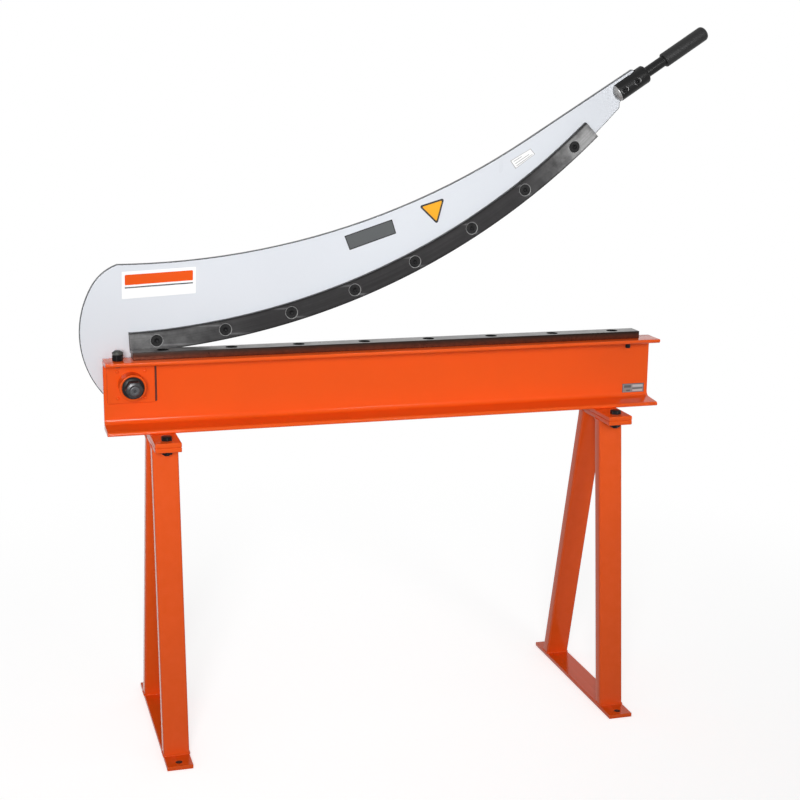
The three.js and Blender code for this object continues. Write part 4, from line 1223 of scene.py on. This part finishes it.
def recess_cutter(i):
    """Turned cutter of a cap screw's recess: a wide mouth, a bevel, the head's seat and the shank."""
    low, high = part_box(f"handle_screw_{i}")
    centre = centre_of(f"handle_screw_{i}")
    outside = 10 * MM
    bore = HANDLE_SCREW_SHANK + GAP
    mouth = RECESS_RADIUS + RECESS_BEVEL
    rings = np.array([
        (0, outside), (mouth + outside - RECESS_FACE, outside), (mouth, RECESS_FACE),
        (RECESS_RADIUS, RECESS_FACE - RECESS_BEVEL), (RECESS_RADIUS, -RECESS_DEPTH), (bore, -RECESS_DEPTH),
        (bore, low.y - high.y - outside), (0, low.y - high.y - outside)])
    sides = 40
    points = ring_points(np.tile(rings[:, :1], sides), rings[:, 1], (centre.x, low.y, centre.z), FRONT, RIGHT)
    return plain_object(f"recess_cutter_{i}", points.tolist(), grid_faces(len(rings), sides))


def cut_socket(socket, start):
    """Takes the slot for the arm plate and the two screw recesses out of the socket."""
    cutters = [slot_cutter(start), recess_cutter(1), recess_cutter(2)]
    for cutter in cutters:
        merge_doubles(cutter)
        step = socket.modifiers.new(cutter.name, "BOOLEAN")
        step.operation = "DIFFERENCE"
        step.solver = "EXACT"
        step.object = cutter
    seen = socket.evaluated_get(bpy.context.evaluated_depsgraph_get())
    cut = bpy.data.meshes.new_from_object(seen)
    socket.modifiers.clear()
    whole = socket.data
    socket.data = cut
    bpy.data.meshes.remove(whole)
    cut.set_sharp_from_angle(angle=SMOOTH_ANGLE)
    for cutter in cutters:
        bpy.data.objects.remove(cutter)


def bare_socket_end(socket, start):
    """Bare steel on the faces of the dome and of the screws' bevels, the bevels in an even light grey
    that is partly a painted highlight: a face belongs to the dome if its centre lies before the socket's
    round length, and to a bevel if its centre lies in the bevel's ring and the Y of its normal within a
    bevel's lean."""
    mesh = socket.data
    mesh.materials.clear()
    for finish in ("gloss_black", "socket_end_steel", "screw_bevel_steel_and_highlight"):
        mesh.materials.append(finish_of(finish))
    centres, normals = values_of(mesh.polygons, "center"), values_of(mesh.polygons, "normal")
    run = (centres - np.array(start)) @ np.array(HANDLE_AHEAD)
    choice = (run < -DOME_MARGIN).astype(int)
    slanted = (normals[:, 1] > BEVEL_LEAN[0]) & (normals[:, 1] < BEVEL_LEAN[1])
    for i in (1, 2):
        screw = centre_of(f"handle_screw_{i}")
        reach = np.hypot(centres[:, 0] - screw.x, centres[:, 2] - screw.z)
        in_ring = (reach > RECESS_RADIUS + 0.1 * MM) & (reach < RECESS_RADIUS + RECESS_BEVEL + GAP)
        choice[in_ring & slanted] = 2
    mesh.polygons.foreach_set("material_index", choice)
    mesh.update()


def build_handle():
    """Slotted socket, round bar and grip on one axis, and the two cap screws."""
    start = handle_origin()
    build_socket(start)
    head, shank = HANDLE_SCREW_HEAD, HANDLE_SCREW_SHANK
    step = [(head, -CAP_HEIGHT_SHARE * head), (shank, -CAP_HEIGHT_SHARE * head)]
    for i in (1, 2):
        socket_screw(f"handle_cap_screw_{i}", f"handle_screw_{i}", FRONT, head, shank, HANDLE_SCREW_KEY,
                     4 * MM, step)
    bar_start, bar_end = SOCKET_LENGTH - BAR_SEAT + GAP, GRIP_START + BAR_IN_GRIP
    corners = [(0, bar_start), (BAR_RADIUS, bar_start), (BAR_RADIUS, bar_end), (0, bar_end)]
    rings = turned_profile(corners, ROD_CHAMFER)
    piece = ring_stack("handle_round_bar", "handle_bar", rings, start, HANDLE_AHEAD, HANDLE_ACROSS,
                       "gloss_black", 64)
    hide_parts("handle_bar")
    bore, tip = BAR_RADIUS + GAP, GRIP_START + GRIP_LENGTH
    lip = arc((GRIP_RADIUS - GRIP_LIP, GRIP_START + GRIP_LIP), GRIP_LIP, 0.2 - QUARTER, 0, 6)
    end = arc((GRIP_RADIUS - GRIP_ROUND, tip - GRIP_ROUND), GRIP_ROUND, 0, QUARTER, 13)
    rings = [(0, bar_end + GAP), (bore, bar_end + GAP), (bore, GRIP_START),
             (GRIP_RADIUS - GRIP_LIP, GRIP_START), *lip, *end, (0, tip)]
    piece = ring_stack("handle_moulded_grip", "handle_grip", rings, start, HANDLE_AHEAD, HANDLE_ACROSS,
                       "grip_black", 72)
    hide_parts("handle_grip")


# Stands

def weld_bead(name, node, outline, height):
    """Fillet weld along a level outline: a closed ring of round section. Its radius is half the
    weld's width times 1 + ripple |sin(pi run / pitch)|, and two faster sines of the run, each with
    its share, rate and start, make it uneven."""
    s = sizes()
    step = np.linalg.norm(np.roll(outline, -1, axis=0) - outline, axis=1)
    total = step.sum()
    count = max(24, int(total / s.weld_pitch) * 6)
    at = np.linspace(0, total, count, endpoint=False)
    corners_at = np.concatenate([[0], np.cumsum(step)])
    closed = np.concatenate([outline, outline[:1]])
    spots = np.stack([np.interp(at, corners_at, closed[:, 0]), np.interp(at, corners_at, closed[:, 1]),
                      np.full(count, height)], axis=1)
    along = np.roll(spots, -1, axis=0) - np.roll(spots, 1, axis=0)
    out = np.cross(along, UP)
    out /= np.linalg.norm(out, axis=1)[:, None]
    wave = 1 + WELD_RIPPLE * np.abs(np.sin(at / s.weld_pitch * math.pi))
    wave += sum(share * np.sin(at * rate + start) for share, rate, start in WELD_UNEVEN)
    around = np.arange(WELD_SIDES) * 2 * math.pi / WELD_SIDES
    ring = np.cos(around)[None, :, None] * out[:, None] + np.sin(around)[None, :, None] * np.array(UP)
    points = (spots[:, None] + ring * (s.weld_width / 2 * wave)[:, None, None]).reshape(-1, 3)
    faces = (np.array(grid_faces(count + 1, WELD_SIDES)) % len(points)).tolist()
    piece = make_piece(name, node, points, faces, "orange_paint")
    merge_doubles(piece)


def leg_depth(node):
    """Level depth of a leg's tube: the extent in Y of the points on its foot."""
    spots = values_of(NODES[node].data.vertices, "co")
    foot = spots[np.abs(spots[:, 2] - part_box(node)[0].z) < SAME_PLANE]
    return float(np.ptp(foot[:, 1]))


def build_leg(side, end):
    """Rectangular tube with level-cut ends, leaning along Y: its level section is carried up a
    slanted line. The welds follow that section at foot and top."""
    node = f"{end}_leg_{side}"
    low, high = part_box(node)
    height, depth = high.z - low.z, leg_depth(node)
    lean = (high.y - low.y - depth) * (1 if end == "front" else -1) / height
    foot_front = low.y if end == "front" else high.y - depth
    outer = box_loop((low.x, foot_front), (high.x, foot_front + depth), LEG_CORNER, 6)
    inner = box_loop((low.x + LEG_WALL, foot_front + LEG_WALL),
                     (high.x - LEG_WALL, foot_front + depth - LEG_WALL), LEG_CORNER - LEG_WALL, 4)
    rows = [(0, 0), (0, height)]
    piece = slab(f"{end}_tube_leg_{side}", node, [(outer, rows), (inner, rows)], (0, 0, low.z),
                 (RIGHT, BACK, (0, lean, 1)), "orange_paint")
    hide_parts(node)
    weld_bead(f"{end}_foot_weld_{side}", node, outer, low.z)
    weld_bead(f"{end}_top_weld_{side}", node, outer + (0, lean * height), high.z)


def build_stands():
    """Both stands: the bolted plates under the bed, the foot bars with anchor holes, and the legs."""
    for side in ("left", "right"):
        for name, node in ((f"upper_stack_plate_{side}", f"bed_pad_{side}"),
                           (f"lower_stack_plate_{side}", f"stand_plate_{side}")):
            bolts = [(centre_of(f"stand_bolt_{side}_{end}"), HEX_SHANK + GAP, hole_rows(height_of(node)))
                     for end in ("front", "rear")]
            flat_piece(name, node, "orange_paint", bolts, edge=STACK_PLATE_EDGE)
        node = f"foot_bar_{side}"
        low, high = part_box(node)
        anchors = [(Vector((centre_of(node).x, y)), ANCHOR_HOLE, hole_rows(height_of(node)))
                   for y in (low.y + ANCHOR_INSET, high.y - ANCHOR_INSET)]
        # Walls of the anchor holes in the darker paint, painted shade
        flat_piece(f"floor_foot_bar_{side}", node, "orange_paint", anchors,
                   hole_finish="anchor_hole_painted_shade")
        for end in ("front", "rear"):
            build_leg(side, end)


# Labels: bare or generic places of the stickers and plates

def patch(corners, along, up):
    """Part of a four-cornered place, from and to shares along its lower edge and up its sides."""
    a, b, c, d = (np.array(corner, float) for corner in corners)
    return [(a * (1 - u) + b * u) * (1 - v) + (d * (1 - u) + c * u) * v
            for u, v in ((along[0], up[0]), (along[1], up[0]), (along[1], up[1]), (along[0], up[1]))]


def shrunk(corners, share):
    """The same corners, moved towards their mean point."""
    corners = np.array(corners, float)
    return corners.mean(axis=0) + (corners - corners.mean(axis=0)) * share


# Name, corners, finish, slot, radius of the corners in millimetres, and layer above the plate

ARM_LABELS = (
    ("arm_white_sticker", WHITE_STICKER, "white_sticker", "white_paint", 1.5, 0),
    ("arm_white_sticker_band", patch(WHITE_STICKER, (0.04, 0.96), (0.38, 0.43)), "slate_plate",
     "black_plastic", 0.3, 1),
    ("arm_white_sticker_field", patch(WHITE_STICKER, (0.04, 0.96), (0.5, 0.88)), "orange_paint",
     "orange_paint", 2.0, 1),
    ("arm_slate_plate_rim", SLATE_PLATE, "sign_black", "black_plastic", 1.0, 0),
    ("arm_slate_plate", patch(SLATE_PLATE, (0.02, 0.98), (0.07, 0.93)), "slate_plate",
     "black_plastic", 0.6, 1),
    ("arm_amber_sticker_rim", AMBER_STICKER, "sign_black", "black_plastic", 3.5, 0),
    ("arm_amber_sticker", shrunk(AMBER_STICKER, 0.78), "amber_sticker", "bronze", 1.5, 1),
    ("arm_small_sticker_rim", SMALL_STICKER, "sticker_line", "black_plastic", 1.0, 0),
    ("arm_small_sticker", patch(SMALL_STICKER, (0.03, 0.97), (0.06, 0.94)), "white_sticker",
     "white_paint", 0.8, 1),
)
SMALL_STICKER_FIELDS = (((0.1, 0.5), (0.7, 0.78)), ((0.1, 0.8), (0.42, 0.5)), ((0.1, 0.9), (0.16, 0.24)))
BED_LABELS = (
    ("bed_name_plate_rim", NAME_PLATE, "slate_plate", "black_plastic", 1.0, 0),
    ("bed_name_plate", patch(NAME_PLATE, (0.03, 0.97), (0.08, 0.92)), "name_plate_steel",
     "bright_steel", 0.6, 1),
)
NAME_PLATE_FIELDS = (
    ("slate_plate", (0.08, 0.4), (0.56, 0.84)),
    ("slate_plate", (0.18, 0.36), (0.2, 0.34)),
    ("name_plate_field", (0.47, 0.94), (0.62, 0.84)),
    ("slate_plate", (0.47, 0.94), (0.42, 0.52)),
    ("name_plate_field", (0.47, 0.94), (0.16, 0.34)),
)


def label(node, front, name, corners, finish, slot, corner, layer):
    """Thin plate on a vertical front face, with its edge rounded by a share of its thickness."""
    thick = sizes().label_thickness
    places = [(CORNER.x + x * MM, CORNER.z + z * MM) for x, z in corners]
    loop = rounded_loop(places, corner * MM)
    slab(name, node, [(loop, rounded_edge(thick, thick * 0.3, 2))], (0, front - (layer + 1) * thick, 0),
         FACING_FRONT, finish)


def build_labels():
    """Plain stickers and plates where the shear carries its labels, with their printed fields."""
    arm_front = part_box("arm_plate")[0].y
    for row in ARM_LABELS:
        label("arm_plate", arm_front, *row)
    for number, (along, up) in enumerate(SMALL_STICKER_FIELDS, 1):
        label("arm_plate", arm_front, f"arm_small_sticker_field_{number}", patch(SMALL_STICKER, along, up),
              "sticker_line", "black_plastic", 0.2, 2)
    for row in BED_LABELS:
        label("bed_channel", WEB_FRONT, *row)
    for number, (finish, along, up) in enumerate(NAME_PLATE_FIELDS, 1):
        label("bed_channel", WEB_FRONT, f"bed_name_plate_field_{number}", patch(NAME_PLATE, along, up),
              finish, "black_plastic", 0.4, 2)


# Camera, light and floor

def build_camera():
    """Camera of the photograph, at its place from the shear's corner."""
    data = bpy.data.cameras.new("photo_camera")
    data.lens = CAMERA_LENS
    data.sensor_fit = "HORIZONTAL"
    data.sensor_width = CAMERA_SENSOR
    data.clip_end = CAMERA_REACH
    camera = bpy.data.objects.new("photo_camera", data)
    turn = Matrix((CAMERA_RIGHT, CAMERA_UP, CAMERA_BACK)).transposed()
    camera.matrix_world = Matrix.Translation(CORNER + CAMERA_PLACE) @ turn.to_4x4()
    bpy.context.scene.collection.objects.link(camera)
    bpy.context.scene.camera = camera


def build_lamp(name, place, aim, size, power, opening):
    """Round area lamp that looks from its place at its aim."""
    data = bpy.data.lights.new(name, "AREA")
    data.shape = "DISK"
    data.size = size
    data.energy = power
    data.spread = opening
    lamp = bpy.data.objects.new(name, data)
    turn = (aim - place).to_track_quat("-Z", "Y").to_matrix().to_4x4()
    lamp.matrix_world = Matrix.Translation(place) @ turn
    bpy.context.scene.collection.objects.link(lamp)


def seen_rays(tree):
    """1 for camera, glossy and clear rays, else 0."""
    path = add(tree, "ShaderNodeLightPath").outputs
    clear = maths(tree, "MAXIMUM", path["Is Glossy Ray"], path["Is Transmission Ray"])
    return maths(tree, "MAXIMUM", path["Is Camera Ray"], clear)


def build_world():
    """Even white surroundings: plain strength for the light, full white for what the camera, glossy
    and clear surfaces see."""
    world = bpy.data.worlds.new("studio")
    bpy.context.scene.world = world
    world.use_nodes = True
    tree = world.node_tree
    sky = tree.nodes["Background"]
    sky.inputs["Color"].default_value = (1, 1, 1, 1)
    tree.links.new(ramp(tree, seen_rays(tree), 0.0, 1.0, WORLD_STRENGTH), sky.inputs["Strength"])


def build_floor():
    """Plain pale floor. Away from the shear it fades to the white of the surroundings for what the
    camera, glossy and clear surfaces see, so that no horizon shows."""
    level = CAD_BOX[0][2]
    corners = [(-FLOOR_HALF, -FLOOR_HALF, level), (FLOOR_HALF, -FLOOR_HALF, level),
               (FLOOR_HALF, FLOOR_HALF, level), (-FLOOR_HALF, FLOOR_HALF, level)]
    floor = plain_object("studio_floor", corners, [(0, 1, 2, 3)])
    material = bpy.data.materials.new("studio_floor")
    material.use_nodes = True
    tree = material.node_tree
    shader = tree.nodes["Principled BSDF"]
    shader.inputs["Roughness"].default_value = FLOOR_ROUGHNESS
    shader.inputs["Specular IOR Level"].default_value = 0.0
    place = add(tree, "ShaderNodeTexCoord").outputs["Object"]
    fade = ramp(tree, vector_maths(tree, "LENGTH", place)["Value"], FADE_START, FADE_END, kind="SMOOTHSTEP")
    seen = seen_rays(tree)
    visible = mix_colour(tree, fade, FLOOR_SEEN, (0.0, 0.0, 0.0))
    tree.links.new(mix_colour(tree, seen, FLOOR_COLOUR, visible), shader.inputs["Base Color"])
    glow = maths(tree, "MULTIPLY", ramp(tree, fade, 0.0, 1.0, FLOOR_LIFT), seen)
    white = add(tree, "ShaderNodeEmission", {"Color": (1, 1, 1, 1), "Strength": glow})
    both = add(tree, "ShaderNodeAddShader", {0: shader.outputs[0], 1: white.outputs[0]})
    tree.links.new(both.outputs[0], tree.nodes["Material Output"].inputs["Surface"])
    floor.data.materials.append(material)


def build_stage():
    """Camera, surroundings, floor and the two lamps."""
    bpy.context.scene.view_settings.view_transform = "Standard"
    build_camera()
    build_world()
    build_floor()
    build_lamp("key_softbox", KEY_PLACE, KEY_AIM, KEY_SIZE, KEY_POWER, KEY_SPREAD)
    build_lamp("fill_softbox", FILL_PLACE, FILL_AIM, FILL_SIZE, FILL_POWER, FILL_SPREAD)


# Operators: one for each piece or group of like pieces, and one for the stage

class SHEAR_OT_bed(bpy.types.Operator):
    """Builds the rolled channel"""
    bl_idname = "shear.bed"
    bl_label = "Bed Channel"
    bl_options = {"REGISTER", "UNDO"}

    def execute(self, context):
        build_bed()
        return {"FINISHED"}


class SHEAR_OT_lower_blade(bpy.types.Operator):
    """Builds the straight lower blade"""
    bl_idname = "shear.lower_blade"
    bl_label = "Lower Blade"
    bl_options = {"REGISTER", "UNDO"}

    def execute(self, context):
        build_lower_blade()
        return {"FINISHED"}


class SHEAR_OT_arm(bpy.types.Operator):
    """Builds the arm plate"""
    bl_idname = "shear.arm"
    bl_label = "Arm Plate"
    bl_options = {"REGISTER", "UNDO"}

    def execute(self, context):
        build_arm()
        return {"FINISHED"}


class SHEAR_OT_upper_blade(bpy.types.Operator):
    """Builds the curved upper blade"""
    bl_idname = "shear.upper_blade"
    bl_label = "Upper Blade"
    bl_options = {"REGISTER", "UNDO"}

    def execute(self, context):
        build_upper_blade()
        return {"FINISHED"}


class SHEAR_OT_blade_screws(bpy.types.Operator):
    """Builds the countersunk screws of both blades"""
    bl_idname = "shear.blade_screws"
    bl_label = "Blade Screws"
    bl_options = {"REGISTER", "UNDO"}

    def execute(self, context):
        build_blade_screws()
        return {"FINISHED"}


class SHEAR_OT_pivot(bpy.types.Operator):
    """Builds the pivot's plate with its rivets and painted shadow strip, boss, washers, nut and shaft"""
    bl_idname = "shear.pivot"
    bl_label = "Pivot"
    bl_options = {"REGISTER", "UNDO"}

    def execute(self, context):
        build_pivot()
        return {"FINISHED"}


class SHEAR_OT_hidden(bpy.types.Operator):
    """Gives the inner pieces their finish"""
    bl_idname = "shear.hidden"
    bl_label = "Inner Pieces"
    bl_options = {"REGISTER", "UNDO"}

    def execute(self, context):
        dress_hidden()
        return {"FINISHED"}


class SHEAR_OT_handle(bpy.types.Operator):
    """Builds the socket, bar, grip and their screws"""
    bl_idname = "shear.handle"
    bl_label = "Handle"
    bl_options = {"REGISTER", "UNDO"}

    def execute(self, context):
        build_handle()
        return {"FINISHED"}


class SHEAR_OT_stands(bpy.types.Operator):
    """Builds the stands with their welds"""
    bl_idname = "shear.stands"
    bl_label = "Stands"
    bl_options = {"REGISTER", "UNDO"}

    def execute(self, context):
        build_stands()
        return {"FINISHED"}


class SHEAR_OT_bolts(bpy.types.Operator):
    """Builds the bolts and nuts of bed and stands"""
    bl_idname = "shear.bolts"
    bl_label = "Bolts"
    bl_options = {"REGISTER", "UNDO"}

    def execute(self, context):
        build_bolts()
        return {"FINISHED"}


class SHEAR_OT_labels(bpy.types.Operator):
    """Builds the plain stickers and plates"""
    bl_idname = "shear.labels"
    bl_label = "Labels"
    bl_options = {"REGISTER", "UNDO"}

    def execute(self, context):
        build_labels()
        return {"FINISHED"}


class SHEAR_OT_stage(bpy.types.Operator):
    """Sets the camera, the light and the floor"""
    bl_idname = "shear.stage"
    bl_label = "Stage"
    bl_options = {"REGISTER", "UNDO"}

    def execute(self, context):
        build_stage()
        return {"FINISHED"}


OPERATORS = (
    SHEAR_OT_bed, SHEAR_OT_lower_blade, SHEAR_OT_arm, SHEAR_OT_upper_blade, SHEAR_OT_blade_screws,
    SHEAR_OT_pivot, SHEAR_OT_hidden, SHEAR_OT_handle, SHEAR_OT_stands, SHEAR_OT_bolts, SHEAR_OT_labels,
    SHEAR_OT_stage)


class SHEAR_PT_pieces(bpy.types.Panel):
    """Sizes, colours and buttons for the shear's pieces, in the order of building"""
    bl_idname = "SHEAR_PT_pieces"
    bl_label = "Guillotine Shear"
    bl_space_type = "VIEW_3D"
    bl_region_type = "UI"
    bl_category = "Shear"

    def draw(self, context):
        for group in (sizes(), colours()):
            for key in group.__annotations__:
                self.layout.prop(group, key)
        for item in OPERATORS:
            self.layout.operator(item.bl_idname)


CLASSES = (ShearSizes, ShearColours, *OPERATORS, SHEAR_PT_pieces)


def register():
    for item in CLASSES:
        bpy.utils.register_class(item)
    bpy.types.Scene.shear_sizes = bpy.props.PointerProperty(type=ShearSizes)
    bpy.types.Scene.shear_colours = bpy.props.PointerProperty(type=ShearColours)


def unregister():
    del bpy.types.Scene.shear_colours
    del bpy.types.Scene.shear_sizes
    for item in reversed(CLASSES):
        bpy.utils.unregister_class(item)


def main():
    register()
    for item in OPERATORS:
        family, action = item.bl_idname.split(".")
        getattr(getattr(bpy.ops, family), action)()


if __name__ == "__main__":
    main()
